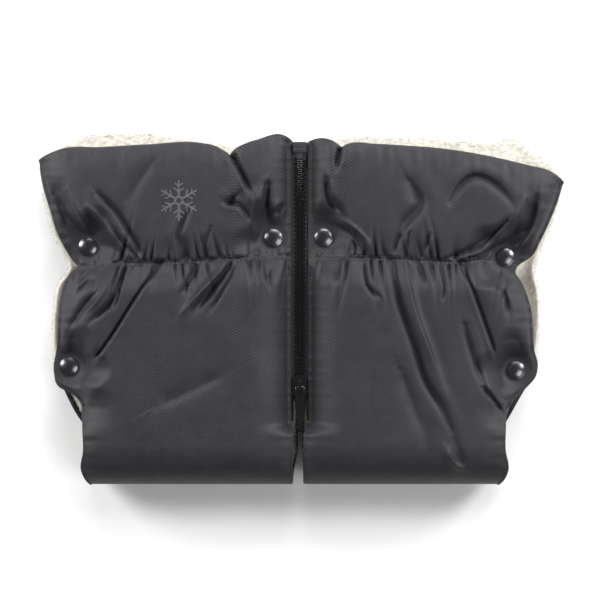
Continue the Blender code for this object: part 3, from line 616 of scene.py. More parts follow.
def stud_far(side_name, x, y):
    """0 on a press stud's seat and 1 away from it, for folds that must die out there."""
    far = np.ones_like(x)
    for stud_x, stud_y in studs_of(side_name):
        far = far * ease((np.hypot(x - stud_x, y - stud_y) - 8.0 * MM) / (6 * MM))
    return far


# ---- Folds of the shell fabric ----
# A stroke is (width, depth, points) in mm; a depth below zero raises a ridge. The
# points are (distance from the zip line, y). Wings lie outside the slanted seams.

FOLDS = {
    "left": [
        (9, 3.2, [(197, 92), (183, 60), (177, 48)]), (6, -1.6, [(186, 96), (172, 66), (164, 50)]),
        (4.5, 2.8, [(162, 92), (146, 76), (134, 56), (126, 41)]),
        (5, -2.2, [(170, 82), (154, 65), (142, 44)]),
        (3, 1.6, [(153, 68), (141, 52), (130, 40)]),
        (9, 1.2, [(119, 118), (134, 96), (140, 80)]),
        (4, 4.2, [(56, 126), (47, 108.5), (39, 92)]), (6, 2.6, [(53, 90), (59, 84)]),
        (3, 2.4, [(59, 84), (49, 83), (39, 70.5)]),
        (4.2, 4.6, [(26.3, 100), (28.8, 76), (31, 60), (37, 50)]),
        (5, -1.6, [(34, 96), (38, 78), (42, 62)]), (3, 2.2, [(14, 84), (20.7, 76)]),
        (4, 1.6, [(90, 78), (98, 60), (96, 46)]), (3, 1.4, [(72, 66), (76, 52), (74, 42)]),
        (2.6, 2.2, [(162, 31.6), (172, 22), (180, 12)]), (2.4, 1.8, [(167, 33), (180, 20)]),
        (3.4, 3.2, [(142, 31), (151, 7.3), (169, -10.5)]),
        (4, -1.6, [(150, 30), (160, 10), (174, -4)]),
        (2, 1.6, [(144.6, 15.4), (150, -0.8)]), (6, 1.8, [(166.5, 11.3), (178, -4), (186, -17)]),
        (3, 2.0, [(183, -24), (184, -37)]),
        (4.6, 4.2, [(54.7, 38), (67.6, 21), (85.5, -2.4)]),
        (2.4, 2.0, [(52, 35), (62.8, 14.6), (74, -4)]), (6, -1.8, [(60, 34), (78, 16), (96, -4)]),
        (4, 2.6, [(82, 37), (95, 12)]), (3, 2.0, [(27, 39), (24, 15.4)]),
        (14, 1.4, [(114, -78), (59, -52)]), (3, 1.4, [(118, 36), (120, 22)])],
    "right": [
        (4, 4.0, [(33, 132), (29.6, 112.6)]), (4, 3.2, [(21.5, 104.5), (24, 88), (33.6, 78)]),
        (4, 3.0, [(28, 68), (41.7, 60), (50, 43)]), (5, -1.4, [(38, 70), (52, 58), (58, 44)]),
        (9, 2.8, [(88.7, 102), (96.8, 84), (84.6, 68), (78, 46)]),
        (2.6, 1.8, [(80, 60), (75, 43)]), (2.6, 1.6, [(88, 62), (86, 43)]),
        (6, 2.2, [(121, 86), (129, 100), (141, 107), (156, 101), (168, 88), (174, 76)]),
        (3.4, 3.0, [(165.6, 70.5), (150, 56), (133, 46), (113, 39)]),
        (5, -2.4, [(168, 61), (150, 49), (132, 40)]),
        (6.5, 4.2, [(190, 88), (183.5, 64), (169.7, 50)]),
        (5, -1.6, [(180, 90), (174, 70), (162, 56)]),
        (3, 1.6, [(104, 60), (100, 44)]),
        (3, 2.4, [(52, 39), (54.7, 19.4), (64.4, 9)]),
        (5.5, 3.4, [(74, 39), (80.6, 6.5), (92.7, -28.4), (101.7, -56.7), (116, -82.6),
                    (128.4, -118)]),
        (6, -1.6, [(84, 34), (92, 0), (104, -34), (116, -64)]),
        (5, -2.0, [(118, -112), (124, -124), (134, -128)]),
        (11, 1.6, [(81.4, -50), (101.7, -105)]), (5, 2.2, [(132.4, -13), (140.5, -40.5), (151, -69.7)]),
        (3, 2.2, [(147, -62.4), (156.7, -73.7), (164, -85)]),
        (3, 2.0, [(96, 38), (101, 20)]), (3, 1.8, [(112, 38), (116, 18), (114, 4)]),
        (3, 2.0, [(30, 38), (31, 22)]), (3.5, 2.4, [(160, 24), (166, 8), (168, -6)])]}
# Where the slanted seam runs on each half: the main panel is lapped over the wing.
WING_SEAM = {
    "left": [(107, 42), (116, 29), (127, 14.6), (148.6, -19.4), (167, -46), (177, -62), (186, -74)],
    "right": [(125, 42), (129, 33), (136.5, 17), (149.4, -18.6), (159, -47), (166, -64),
              (174, -78)]}
WING_DROP = {"left": 4.6 * MM, "right": 5.2 * MM}


def smooth_path(points_mm, pieces=10):
    """A Catmull-Rom curve through the points, as an array in metres."""
    corners = np.array([points_mm[0], *points_mm, points_mm[-1]], float) * MM
    path = []
    for first, second, third, fourth in zip(corners, corners[1:], corners[2:], corners[3:]):
        for t in np.linspace(0, 1, pieces, endpoint=False):
            path.append(0.5 * (2 * second + (third - first) * t
                               + (2 * first - 5 * second + 4 * third - fourth) * t**2
                               + (3 * second - first - 3 * third + fourth) * t**3))
    path.append(corners[-2])
    return np.array(path)


def path_reach(points_mm, x, y):
    """Distance to a path, the share of the way along it, and the side of it a place is on."""
    path = smooth_path(points_mm)
    best = np.full(x.shape, 1e9)
    along = np.zeros(x.shape)
    turn = np.zeros(x.shape)
    for number, (start, end) in enumerate(zip(path, path[1:])):
        run = end - start
        length = max(float(run @ run), 1e-12)
        share = np.clip(((x - start[0]) * run[0] + (y - start[1]) * run[1]) / length, 0, 1)
        off_x = x - start[0] - share * run[0]
        off_y = y - start[1] - share * run[1]
        away = np.hypot(off_x, off_y)
        nearer = away < best
        best = np.where(nearer, away, best)
        along = np.where(nearer, (number + share) / (len(path) - 1), along)
        turn = np.where(nearer, np.sign(run[0] * off_y - run[1] * off_x), turn)
    return best, along, turn


def fold_relief(side_name, x, y):
    """How far the strokes lower or raise the front."""
    relief = np.zeros(x.shape)
    for width, depth, points in FOLDS[side_name]:
        away, along, turn = path_reach(points, x, y)
        taper = ease(along / 0.22) * 0.55 + 0.45
        taper = taper * (ease((1 - along) / 0.4) * 0.85 + 0.15)
        reach = width * MM * np.where(turn > 0, 0.36, 0.8)
        shape = 1 / (1 + (away / reach) ** 2) ** 2
        lip = np.where(turn > 0, np.exp(-((away - 1.1 * width * MM) / (0.8 * width * MM)) ** 2), 0)
        relief += depth * MM * taper * (0.45 * lip - 1.9 * shape)
    return relief


def seam_relief(side_name, x, y):
    """The wing panel's drop at the slanted seam, which fills out again away from it."""
    away, _, turn = path_reach(WING_SEAM[side_name], x, y)
    reach = smooth_path(WING_SEAM[side_name])
    in_span = ease((y - reach[:, 1].min() + 4 * MM) / (10 * MM)) \
        * ease((reach[:, 1].max() - y) / (8 * MM))
    outside = turn > 0
    signed = np.where(outside, away, -away)
    step = ease((signed + 0.4 * MM) / (1.6 * MM))
    recover = np.exp(-np.maximum(signed, 0) / (11 * MM))
    lip = np.exp(-((signed + 2.4 * MM) / (2.0 * MM)) ** 2)
    groove = np.exp(-((signed - 0.9 * MM) / (1.0 * MM)) ** 2)
    return in_span * (0.5 * MM * lip - WING_DROP[side_name] * step * recover - 3.4 * MM * groove)


def crease_wave(turn):
    """A wave with round crests and sharp valleys, from -1 to about 0.4."""
    return 0.4 - 1.4 * (1 - np.abs(np.sin(turn / 2))) ** 1.6


def gathers(side_name, face, x, y):
    """Irregular puckers where the elastic draws the waist in, other ones above and below."""
    from_waist = y - waist_line(side_name, x)
    shift = (1.7 if side_name == "left" else 4.1) + (0.0 if face > 0 else 2.2)
    above = from_waist > 0
    lean = np.where(above, 0.30, -0.24) * np.sin(x / (23 * MM) + shift) * np.abs(from_waist)
    place = (x + lean) / MM
    phase = np.where(above, 2.3, 0.0) + shift
    wander = 2.1 * np.sin(place * 0.117 + phase) + 1.3 * np.sin(place * 0.29 + 2 * phase)
    long_wave = crease_wave(place * 0.60 + wander)
    short_wave = crease_wave(place * 1.12 + 1.7 * wander + shift)
    strength = 0.5 + 0.5 * np.sin(place * 0.071 + 2.2 * shift) * np.sin(place * 0.173 + shift)
    reach = np.where(above, 13 * MM, 16 * MM) * (0.55 + 0.9 * strength)
    far = np.exp(-(np.abs(from_waist) / reach) ** 1.5)
    close = np.exp(-(np.abs(from_waist) / (6 * MM)) ** 2)
    near = ease((np.abs(from_waist) - 0.2 * MM) / (2.5 * MM))
    depth = 2.5 + 3.6 * strength
    return MM * near * (depth * long_wave * far + 1.8 * short_wave * close)


def edge_puckers(side_name, face, x, y):
    """Fine puckers beside the zip and along the hems, where the seams draw the fabric in."""
    place = y / MM
    beside = x - inner_edge(side_name, face, y)
    wave = np.sin(place * 0.62 + 1.6 * np.sin(place * 0.11)) + 0.5 * np.sin(place * 1.1 + 0.7)
    relief = 0.38 * MM * wave * np.exp(-beside / (6 * MM))
    to_side = side_edge(side_name, face, y) - x
    wave = np.sin(place * 0.55 + 2.1 * np.sin(place * 0.09)) + 0.5 * np.sin(place * 0.93 + 2.0)
    relief += 0.35 * MM * wave * np.exp(-np.abs(to_side - 5 * MM) / (7 * MM))
    along = x / MM
    to_top = top_edge(side_name, face, x) - y
    wave = np.sin(along * 0.47 + 1.8 * np.sin(along * 0.083)) + 0.5 * np.sin(along * 0.81 + 1.1)
    return relief + 0.4 * MM * wave * np.exp(-np.abs(to_top - 7 * MM) / (8 * MM))


def soft_billow(side_name, face, x, y):
    """Low wide unevenness of the wadding."""
    shift = (0.0 if side_name == "left" else 2.6) + (0.0 if face > 0 else 1.3)
    first = x / (31 * MM)
    second = y / (27 * MM)
    return 0.7 * MM * (np.sin(first * 1.9 + shift) * np.sin(second * 1.7 + 1.3 * shift)
                       + 0.6 * np.sin(first * 3.1 - second * 2.3 + shift))


def waist_stitching(side_name, x, y):
    """A narrow sewn channel with its row of stitch dimples."""
    from_waist = y - waist_line(side_name, x)
    uneven = 0.55 + 0.45 * np.sin(x / (2.3 * MM) + 2 * np.sin(x / (9 * MM)))
    return -1.2 * MM * uneven * np.exp(-(from_waist / (1.3 * MM)) ** 2)


# ---- The grids of one half ----

ZIP_ROLL = 1.6 * MM
SIDE_ROLL = 2.6 * MM
TOP_ROLL = 4.5 * MM
LINING = 3.4 * MM
AIR = 0.3 * MM
PILE_CLEAR = 4 * MM  # the pile would reach the other leaf from nearer the parting plane
FIRST_REACH = 190 * MM  # a leaf's width before its edges are followed
EDGE_TRIES = 5  # a column's place and the edge it follows settle together
SUNK = {"outer": 0.0, "shell_inner": 6 * MM - LINING, "fleece_outer": 6 * MM - LINING + AIR,
        "fleece_inner": 6 * MM}  # each layer's depth under the outer face, in the fold
FOLD_STEPS = 26
FRONT_ROWS = 250
BACK_ROWS = 110
COLUMNS = 176


def row_list():
    """Rows from the back collar round the fold to the front collar, as (face, share up, angle)."""
    rows = [(-1, share, None) for share in np.linspace(1, 0, BACK_ROWS, endpoint=False)]
    rows += [(0, 0.0, angle) for angle in np.linspace(-90, 90, FOLD_STEPS * 2, endpoint=False)]
    rows += [(1, share, None) for share in np.linspace(0, 1, FRONT_ROWS)]
    return rows


def grid_places(side_name, layer):
    """Plan places, faces and the fold's rise for every point of a layer."""
    rows = row_list()
    shares = np.linspace(0, 1, COLUMNS)
    face = np.array([side or (1 if angle >= 0 else -1) for side, _, angle in rows])
    fleece = layer.startswith("fleece")
    inset_in = 1.2 * MM if fleece else 0.0
    x = np.zeros((len(rows), COLUMNS))
    y = np.zeros_like(x)
    rise = np.ones(len(rows))
    for number, (_, share, angle) in enumerate(rows):
        facing = face[number]
        if facing > 0:
            side_inset = SIDE_ROLL + (0.6 * MM if fleece else 0.0)
            top_inset = TOP_ROLL + (0.5 * MM if fleece else 0.0)
        else:
            top_inset = TOP_ROLL + (-3.0 * MM if fleece else 2.0 * MM)
        if angle is not None:
            turned_off = 1 - math.cos(math.radians(angle))
            place = np.full(COLUMNS, FOLD_Y + FOLD_REACH * turned_off)
            rise[number] = abs(math.sin(math.radians(angle)))
        column_x = shares * FIRST_REACH
        for _ in range(EDGE_TRIES):
            if angle is None:
                high = top_edge(side_name, facing, column_x) - top_inset
                place = mix(FOLD_Y + FOLD_REACH, high, share)
            low_x = inner_edge(side_name, facing, place) + ZIP_ROLL + inset_in
            if facing < 0:
                peek = ease((place + 66 * MM) / (10 * MM))
                side_inset = SIDE_ROLL + (mix(5 * MM, -1.5 * MM, peek) if fleece
                                          else mix(0.3 * MM, 2.5 * MM, peek))
                low_x = mix(inner_edge(side_name, 1, place) + ZIP_ROLL + inset_in, low_x,
                            ease((place - FOLD_Y) / (30 * MM)))
            column_x = mix(low_x, side_edge(side_name, facing, place) - side_inset, shares)
        x[number] = column_x
        if angle is None:
            y[number] = place
        else:
            y[number] = FOLD_Y + mix(SUNK[layer], FOLD_REACH, turned_off)
    return x, y, face, rise


def layer_grid(side_name, layer):
    """Points of a layer as (rows, columns, 3), in the half's own mirrored frame."""
    x, y, face, rise = grid_places(side_name, layer)
    z = np.zeros_like(x)
    for facing in (-1, 1):
        rows = face == facing
        place = side_name, x[rows], y[rows]
        leaf = side_name, facing, x[rows], y[rows]
        outside, inside = leaf_heights(*leaf)
        if layer == "outer":
            far = stud_far(*place)
            relief = gathers(*leaf) + edge_puckers(*leaf) + waist_stitching(*place)
            if facing > 0:
                relief += fold_relief(*place)
                relief += seam_relief(*place)
            height = outside + soft_billow(*leaf) * far * 0.6 + relief * far
            height = np.maximum(height, inside + LINING + 1.2 * MM)
        elif layer == "shell_inner":
            height = inside + LINING
        elif layer == "fleece_outer":
            height = inside + LINING - AIR
        else:
            height = inside + 0.2 * MM
        z[rows] = facing * height * rise[rows][:, None]
    return np.stack([x, y, z], axis=-1)


def outward_ways(grid):
    """Unit directions in plan that point away from the leaf along the border loop."""
    rows, columns = grid.shape[:2]
    ways = np.zeros((rows, columns, 2))
    rise = np.gradient(grid[:, -1, 1])
    slope = np.gradient(grid[:, -1, 0]) / np.where(np.abs(rise) < 1e-5, 1e9, rise)
    ways[:, 0] += (-1, 0)
    ways[:, -1] += np.stack([np.ones(rows), -np.clip(slope, -1.2, 1.2)], axis=-1)
    for row in (0, rows - 1):
        tilt = np.gradient(grid[row, :, 1]) / np.gradient(grid[row, :, 0])
        ways[row] += np.stack([-np.clip(tilt, -1.2, 1.2), np.ones(columns)], axis=-1)
    length = np.linalg.norm(ways, axis=-1, keepdims=True)
    return ways / np.where(length == 0, 1, length)


def border_loop(rows, columns):
    """Row and column numbers round the border, starting up the zip edge."""
    loop = [(row, 0) for row in range(rows - 1)]
    loop += [(rows - 1, column) for column in range(columns - 1)]
    loop += [(row, columns - 1) for row in range(rows - 1, 0, -1)]
    loop += [(0, column) for column in range(columns - 1, 0, -1)]
    return tuple(np.array(numbers) for numbers in zip(*loop))


def grid_faces(index):
    return np.stack([index[:-1, :-1], index[:-1, 1:], index[1:, 1:], index[1:, :-1]],
                    axis=-1).reshape(-1, 4)


def closed_quilt(name, side_name, outer, inner, rolls, steps, finish):
    """One closed piece between two grids, with a rounded rim that stands out by rolls."""
    rows, columns = outer.shape[:2]
    sign = SIDES[side_name]
    loop = border_loop(rows, columns)
    around = len(loop[0])
    count = rows * columns
    way = outward_ways(outer)[loop]
    run = np.cumsum(np.linalg.norm(np.diff(outer.mean(axis=1), axis=0), axis=1))
    plan = np.stack([outer[..., 0] * sign,
                     np.repeat(np.concatenate([[0], run])[:, None], columns, axis=1)], axis=-1)
    points = [outer.reshape(-1, 3), inner.reshape(-1, 3)]
    unrolled = [plan.reshape(-1, 2), plan.reshape(-1, 2)]
    rings = [loop[0] * columns + loop[1]]
    for step in range(1, steps):
        turn = math.pi * step / steps
        ring = mix(outer[loop], inner[loop], (1 - math.cos(turn)) / 2)
        ring[:, :2] += way * rolls[loop][:, None] * math.sin(turn)
        points.append(ring)
        unrolled.append(plan[loop] + way * (1.2 * MM * step) * np.array([sign, 1]))
        rings.append(2 * count + (step - 1) * around + np.arange(around))
    rings.append(rings[0] + count)
    points = np.concatenate(points)
    points[:, 0] *= sign
    points[:, 2] += MID
    skins = grid_faces(np.arange(count).reshape(rows, columns))
    walls = [np.stack([first, np.roll(first, -1), np.roll(second, -1), second], axis=-1)
             for first, second in zip(rings, rings[1:])]
    faces = np.concatenate([skins, skins[:, ::-1] + count, *walls])
    if sign < 0:
        faces = faces[:, ::-1]
    made = mesh_object(name, points, faces.tolist(), finish)
    corner_points = np.empty(len(made.data.loops), np.int32)
    made.data.loops.foreach_get("vertex_index", corner_points)
    layer = made.data.uv_layers.new(name="cloth")
    flat = np.concatenate(unrolled)[corner_points]
    layer.data.foreach_set("uv", flat.astype(np.float32).ravel())
    return made


LOOSE_CLOTH = {
    "quality": 6, "mass": 0.12, "tension_stiffness": 20, "compression_stiffness": 20,
    "shear_stiffness": 8, "bending_stiffness": 0.5, "tension_damping": 8, "compression_damping": 8,
    "shear_damping": 8, "bending_damping": 1.0, "air_damping": 3, "vertex_group_mass": "hold",
    "pin_stiffness": 1.0, "vertex_group_shrink": "spare", "shrink_min": 0.0, "shrink_max": -0.32}
LAST_FRAME = 26
MOST_LIFT = 4 * MM
MOST_SHIFT = 2.5 * MM


def hold_and_spare(side_name, x, y):
    """How firmly the wadding holds each point of the skin, and how much spare cloth is there."""
    hold = np.full(x.shape, 0.3)
    hold[[0, -1]] = 1
    hold[:, [0, -1]] = 1
    hold = np.maximum(hold, 1 - stud_far(side_name, x, y))
    from_waist = np.abs(y - waist_line(side_name, x))
    hold = np.maximum(hold, 0.98 * np.exp(-(from_waist / (2 * MM)) ** 2))
    seam_away, _, _ = path_reach(WING_SEAM[side_name], x, y)
    hold = np.maximum(hold, 0.6 * np.exp(-(seam_away / (3 * MM)) ** 2))
    return {"hold": hold, "spare": 0.25 + 0.75 * np.exp(-(from_waist / (24 * MM)) ** 2)}


def settled_cloth(skin, weights):
    """Points of the skin once it has settled as Cloth."""
    for name, values in weights.items():
        group = skin.vertex_groups.new(name=name)
        for number, weight in enumerate(values.ravel().tolist()):
            group.add([number], min(weight, 1.0), "REPLACE")
    cloth = skin.modifiers.new("loose", "CLOTH")
    for key, value in LOOSE_CLOTH.items():
        setattr(cloth.settings, key, value)
    cloth.settings.effector_weights.gravity = 0
    cloth.collision_settings.use_collision = False
    cloth.point_cache.frame_start = 1
    cloth.point_cache.frame_end = LAST_FRAME
    for moment in range(1, LAST_FRAME + 1):
        bpy.context.scene.frame_set(moment)
    settled = np.empty(len(skin.data.vertices) * 3, np.float32)
    graph = bpy.context.evaluated_depsgraph_get()
    skin.evaluated_get(graph).data.vertices.foreach_get("co", settled)
    bpy.context.scene.frame_set(1)
    return settled.reshape(-1, 3)


def spread_over(moved, rows, columns, first_row, stride):
    """Coarse movements, spread evenly over a finer grid from its first moving row."""
    row_at = np.clip((np.arange(rows) - first_row) / stride, 0, moved.shape[0] - 1)
    column_at = np.clip(np.arange(columns) / stride, 0, moved.shape[1] - 1)
    low_row, low_column = row_at.astype(int), column_at.astype(int)
    high_row = np.minimum(low_row + 1, moved.shape[0] - 1)
    high_column = np.minimum(low_column + 1, moved.shape[1] - 1)
    column_share = (column_at - low_column)[None, :, None]
    near, far = (mix(moved[row][:, low_column], moved[row][:, high_column], column_share)
                 for row in (low_row, high_row))
    full = mix(near, far, (row_at - low_row)[:, None, None])
    full[:first_row] = 0
    return full


def crumple(side_name, grid, face):
    """Lets the front skin buckle as Cloth that is slightly too large for the wadding under it,
    most of all beside the elastic. Returns how far each grid point moves."""
    stride = 2
    first_row = int(np.argmax(face > 0)) + FOLD_STEPS // 2
    coarse = grid[first_row::stride, ::stride]
    rows, columns = coarse.shape[:2]
    faces = grid_faces(np.arange(rows * columns).reshape(rows, columns))
    skin = mesh_object(f"loose_skin_{side_name}", coarse.reshape(-1, 3), faces.tolist(), CLOTH)
    weights = hold_and_spare(side_name, coarse[..., 0], coarse[..., 1])
    moved = settled_cloth(skin, weights).reshape(rows, columns, 3) - coarse
    bpy.data.objects.remove(skin)
    moved[..., 2] = MOST_LIFT * np.tanh(moved[..., 2] / MOST_LIFT)
    moved[..., :2] = MOST_SHIFT * np.tanh(moved[..., :2] / MOST_SHIFT)
    return spread_over(moved, *grid.shape[:2], first_row, stride)


def roll_sizes(outer, zip_roll, side_roll, top_roll):
    rolls = np.zeros(outer.shape[:2])
    rolls[:, 0] = zip_roll
    rolls[:, -1] = side_roll
    rolls[[0, -1]] = top_roll
    return rolls


def bend_over_fold(made):
    """Bakes the piece's placing into its mesh points."""
    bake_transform(made)


def side_nodes(kinds, side_name):
    return [f"{kind}_{face}_{side_name}" for kind in kinds for face in FACES]


def make_padded_shell(side_name):
    outer = layer_grid(side_name, "outer")
    inner = layer_grid(side_name, "shell_inner")
    face = grid_places(side_name, "outer")[2]
    outer = outer + crumple(side_name, outer, face)
    front = face > 0
    outer[front, :, 2] = np.maximum(outer[front, :, 2], inner[front, :, 2] + 1.0 * MM)
    rolls = roll_sizes(outer, ZIP_ROLL, SIDE_ROLL, TOP_ROLL)
    made = closed_quilt(f"padded_shell_{side_name}", side_name, outer, inner, rolls, 8, CLOTH)
    bend_over_fold(made)
    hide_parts(*side_nodes(("shell", "body_wadding", "collar_wadding", "elastic"), side_name))
    return made


def pile_noise(grid, seed):
    """Uneven height of the brushed pile."""
    random = np.random.default_rng(seed)
    rows, columns = grid.shape[:2]
    coarse = random.normal(size=(rows, columns))
    for _ in range(2):
        coarse = (coarse + np.roll(coarse, 1, 0) + np.roll(coarse, -1, 0) + np.roll(coarse, 1, 1)
                  + np.roll(coarse, -1, 1)) / 3
    return coarse / coarse.std()


def every_second(count):
    return np.unique(np.append(np.arange(0, count, 2), count - 1))


def pile_share(made, face, rows, columns):
    """How thickly the pile stands at each point: most on the back leaf's rim, thin inside, and
    none on the front leaf's rim or near the parting plane."""
    count = rows * columns
    edge_rows = np.minimum(np.arange(rows), rows - 1 - np.arange(rows))[:, None]
    to_side = columns - 1 - np.arange(columns)[None, :]
    rim = np.exp(-np.minimum(edge_rows, to_side) / 2.5)
    heights = np.array([vert.co.z for vert in made.data.vertices])
    pile = np.ones(len(heights))
    pile[:count] = (np.where(rim > 0.4, rim, 0.0) * 0.7 * (face[:, None] < 0)).ravel()
    pile[count:2 * count] = (0.07 + 0.6 * rim).ravel()
    pile[2 * count:] *= heights[2 * count:] <= MID - 2 * MM
    return pile * (np.abs(heights - MID) >= PILE_CLEAR)


def make_fleece(side_name, tuft):
    keep = np.ix_(every_second(len(row_list())), every_second(COLUMNS))
    outer = layer_grid(side_name, "fleece_outer")[keep]
    inner = layer_grid(side_name, "fleece_inner")[keep]
    face = grid_places(side_name, "fleece_inner")[2][keep[0][:, 0]]
    seed = 5 if side_name == "left" else 6
    inner[..., 2] -= 0.2 * MM * np.abs(pile_noise(inner, seed)) * face[:, None]
    rolls = roll_sizes(outer, 1.0 * MM, 2.4 * MM, 3.0 * MM)
    made = closed_quilt(f"fleece_{side_name}", side_name, outer, inner, rolls, 5, FLEECE)
    pile = pile_share(made, face, *outer.shape[:2]).astype(np.float32)
    made.data.attributes.new("pile", "FLOAT", "POINT").data.foreach_set("value", pile)
    grow(made, tuft_tree(tuft), {"Density": 9e5, "Seed": seed})
    bend_over_fold(made)
    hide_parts(*side_nodes(("lining",), side_name))


SKINS = {}
tuft = tuft_mesh()
for side_name in SIDES:
    SKINS[side_name] = make_padded_shell(side_name)
    make_fleece(side_name, tuft)
bpy.data.objects.remove(tuft)


# ---- Sewing ----

def sewn(name, skins, places, runs, lengths, thickness, lift, finish):
    """Stitches laid on the front skin at (x, y) places, each along its run."""
    points, ways, sizes = [], [], []
    for (x, y), run, size in zip(places, runs, lengths):
        hit, normal, _, _ = skins[x > 0].ray_cast(Vector((x, y, 0.2)), Vector((0, 0, -1)))
        if hit is None or normal.z < 0.35:
            continue
        flat = Vector((run[0], run[1], 0)).normalized()
        points.append(hit + normal * lift)
        ways.append(flat - normal * flat.dot(normal))
        sizes.append(size)
    made = mesh_object(name, points, [], finish, smooth=False)
    made.data.attributes.new("run", "FLOAT_VECTOR", "POINT").data.foreach_set(
        "vector", np.array(ways, np.float32).ravel())
    made.data.attributes.new("long", "FLOAT", "POINT").data.foreach_set(
        "value", np.array(sizes, np.float32))
    stitch = stitch_mesh(finish)
    grow(made, stitch_tree(stitch, finish), {"Thickness": thickness})
    bpy.data.objects.remove(stitch)
    settle(made, "front", "shell_fabric")


def waist_stitches(skins):
    """Two rows of lockstitch that hold the elastic's channel."""
    pitch, long, thick = 3.3 * MM, 2.5 * MM, 0.22 * MM
    from_zip, to_side, off_waist = 9 * MM, 185 * MM, 1.6 * MM
    places, runs = [], []
    for side_name, side in SIDES.items():
        for offset in (-off_waist, off_waist):
            x = from_zip
            while x < to_side:
                y = waist_line(side_name, np.array([x, x + 1 * MM]))
                places.append((side * x, y[0] + offset))
                runs.append((side * 1 * MM, y[1] - y[0]))
                x += pitch
    sewn("waist_stitches", skins, places, runs, [long] * len(places), thick, 0.0, THREAD)


def satin_bar(start, end, width_start, width_end, step=0.42 * MM):
    """Satin stitches across a tapering bar between two plan points."""
    start, end = np.array(start), np.array(end)
    run = end - start
    length = float(np.hypot(*run))
    across = np.array([-run[1], run[0]]) / length
    count = max(int(length / step), 2)
    for number in range(count):
        share = number / (count - 1)
        yield start + run * share, across, mix(width_start, width_end, share)


def snowflake_embroidery(skins):
    """A tonal six-armed snowflake on the left collar."""
    centre = np.array((-97 * MM, 87 * MM))
    places, runs, lengths = [], [], []

    def lay(bars):
        for place, across, width in bars:
            places.append(tuple(place))
            runs.append(tuple(across))
            lengths.append(width)

    for number in range(6):
        turn = math.radians(60 * number + 30)
        way = np.array((math.cos(turn), math.sin(turn)))
        lay(satin_bar(centre + way * 2.2 * MM, centre + way * 16 * MM, 2.0 * MM, 1.5 * MM))
        for reach, size in ((7.0 * MM, 5.2 * MM), (11.5 * MM, 3.6 * MM)):
            for lean in (-1, 1):
                side_turn = turn + lean * math.radians(52)
                side_way = np.array((math.cos(side_turn), math.sin(side_turn)))
                root = centre + way * reach
                lay(satin_bar(root + side_way * 0.9 * MM, root + side_way * size, 1.5 * MM, 1.1 * MM))
        next_turn = turn + math.radians(60)
        next_way = np.array((math.cos(next_turn), math.sin(next_turn)))
        lay(satin_bar(centre + way * 3.6 * MM, centre + next_way * 3.6 * MM, 1.3 * MM, 1.3 * MM))
    sewn("snowflake_embroidery", skins, places, runs, lengths, 0.26 * MM, 0.12 * MM, SATIN)


def front_skins():
    """The two front skins as ray targets, keyed by whether x is above zero."""
    trees = {}
    for side_name, side in SIDES.items():
        mesh = SKINS[side_name].data
        trees[side > 0] = BVHTree.FromPolygons([vert.co for vert in mesh.vertices],
                                               [tuple(face.vertices) for face in mesh.polygons])
    return trees


FRONT_SKINS = front_skins()
waist_stitches(FRONT_SKINS)
snowflake_embroidery(FRONT_SKINS)


# ---- Press studs ----

def turned(name, outline, centre, finish, steps=56):
    """A solid of revolution about a vertical axis from (radius, height) points in mm."""
    shape = bmesh.new()
    rings = [[shape.verts.new(centre + Vector((radius * MM * math.cos(turn),
                                               radius * MM * math.sin(turn), height * MM)))
              for turn in circle(steps if radius else 1)]
             for radius, height in outline]
    join_rings(shape, rings)
    return bmesh_object(name, shape, finish, sharp_angle=50)


CAP_RISE_MM = 2.4


def cap_profile():
    """A domed cap with a rolled rim round its foot, on the rivet that clinches it."""
    curve, reach = 16.5, 25.9
    dome_points = [(curve * math.sin(turn), CAP_RISE_MM - curve * (1 - math.cos(turn)))
                   for turn in (math.radians(reach * (1 - step / 12)) for step in range(12))]
    rim = [(7.15 + 0.35 * math.cos(turn), 0.4 + 0.38 * math.sin(turn))
           for turn in (math.radians(30 * step - 90) for step in range(6))]
    return [(0.0, -4.3), (2.0, -4.3), (2.0, 0.0), *rim, *dome_points, (0.0, CAP_RISE_MM)]


def socket_profile():
    """A spring socket: rolled rim, and a recess that takes the stud."""
    rim = [(5.85 + 0.35 * math.cos(turn), -0.4 + 0.38 * math.sin(turn))
           for turn in (math.radians(90 - 30 * step) for step in range(7))]
    return [(0.0, 0.0), *rim, (5.2, -1.0), (4.2, -1.1), (3.9, -2.6), (3.7, -2.95), (3.2, -3.0),
            (2.8, -2.8), (2.7, -2.4), (2.7, -0.6), (0.0, -0.6)]


def knob_profile():
    return [(0.0, 0.0), (5.6, 0.0), (5.75, 0.3), (5.6, 0.6), (5.0, 0.75), (2.9, 0.8), (2.3, 1.1),
            (1.9, 1.6), (2.0, 2.2), (2.12, 2.7), (2.1, 3.2), (1.8, 3.6), (1.2, 3.75), (0.0, 3.8)]


def post_profile():
    return [(0.0, 4.3), (2.0, 4.3), (2.0, 0.0), (5.5, 0.0), (5.8, -0.25), (5.75, -0.6),
            (5.3, -0.8), (2.6, -0.8), (2.2, -0.5), (0.0, -0.45)]


# Each stud piece's profile, body, the end of its node (0 low, 1 high) it sits at, and its rise.
STUD_PIECES = {"cap": (cap_profile, "front", 1, -CAP_RISE_MM * MM),
               "socket": (socket_profile, "front", 1, 0.0),
               "knob": (knob_profile, "back", 0, 0.0), "post": (post_profile, "back", 0, 0.8 * MM)}


def make_studs(side_name):
    for name in STUD_NAMES[side_name]:
        centre = middle(f"stud_cap_{name}")
        for kind, (profile, body, end, rise) in STUD_PIECES.items():
            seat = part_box(f"stud_{kind}_{name}")[end].z + rise
            made = turned(f"press_stud_{kind}_{name}", profile(), Vector((centre.x, centre.y, seat)),
                          PLATE)
            settle(made, body, "stud_metal", f"stud_{kind}_{name}")


for side_name in SIDES:
    make_studs(side_name)


# ---- Zip ----

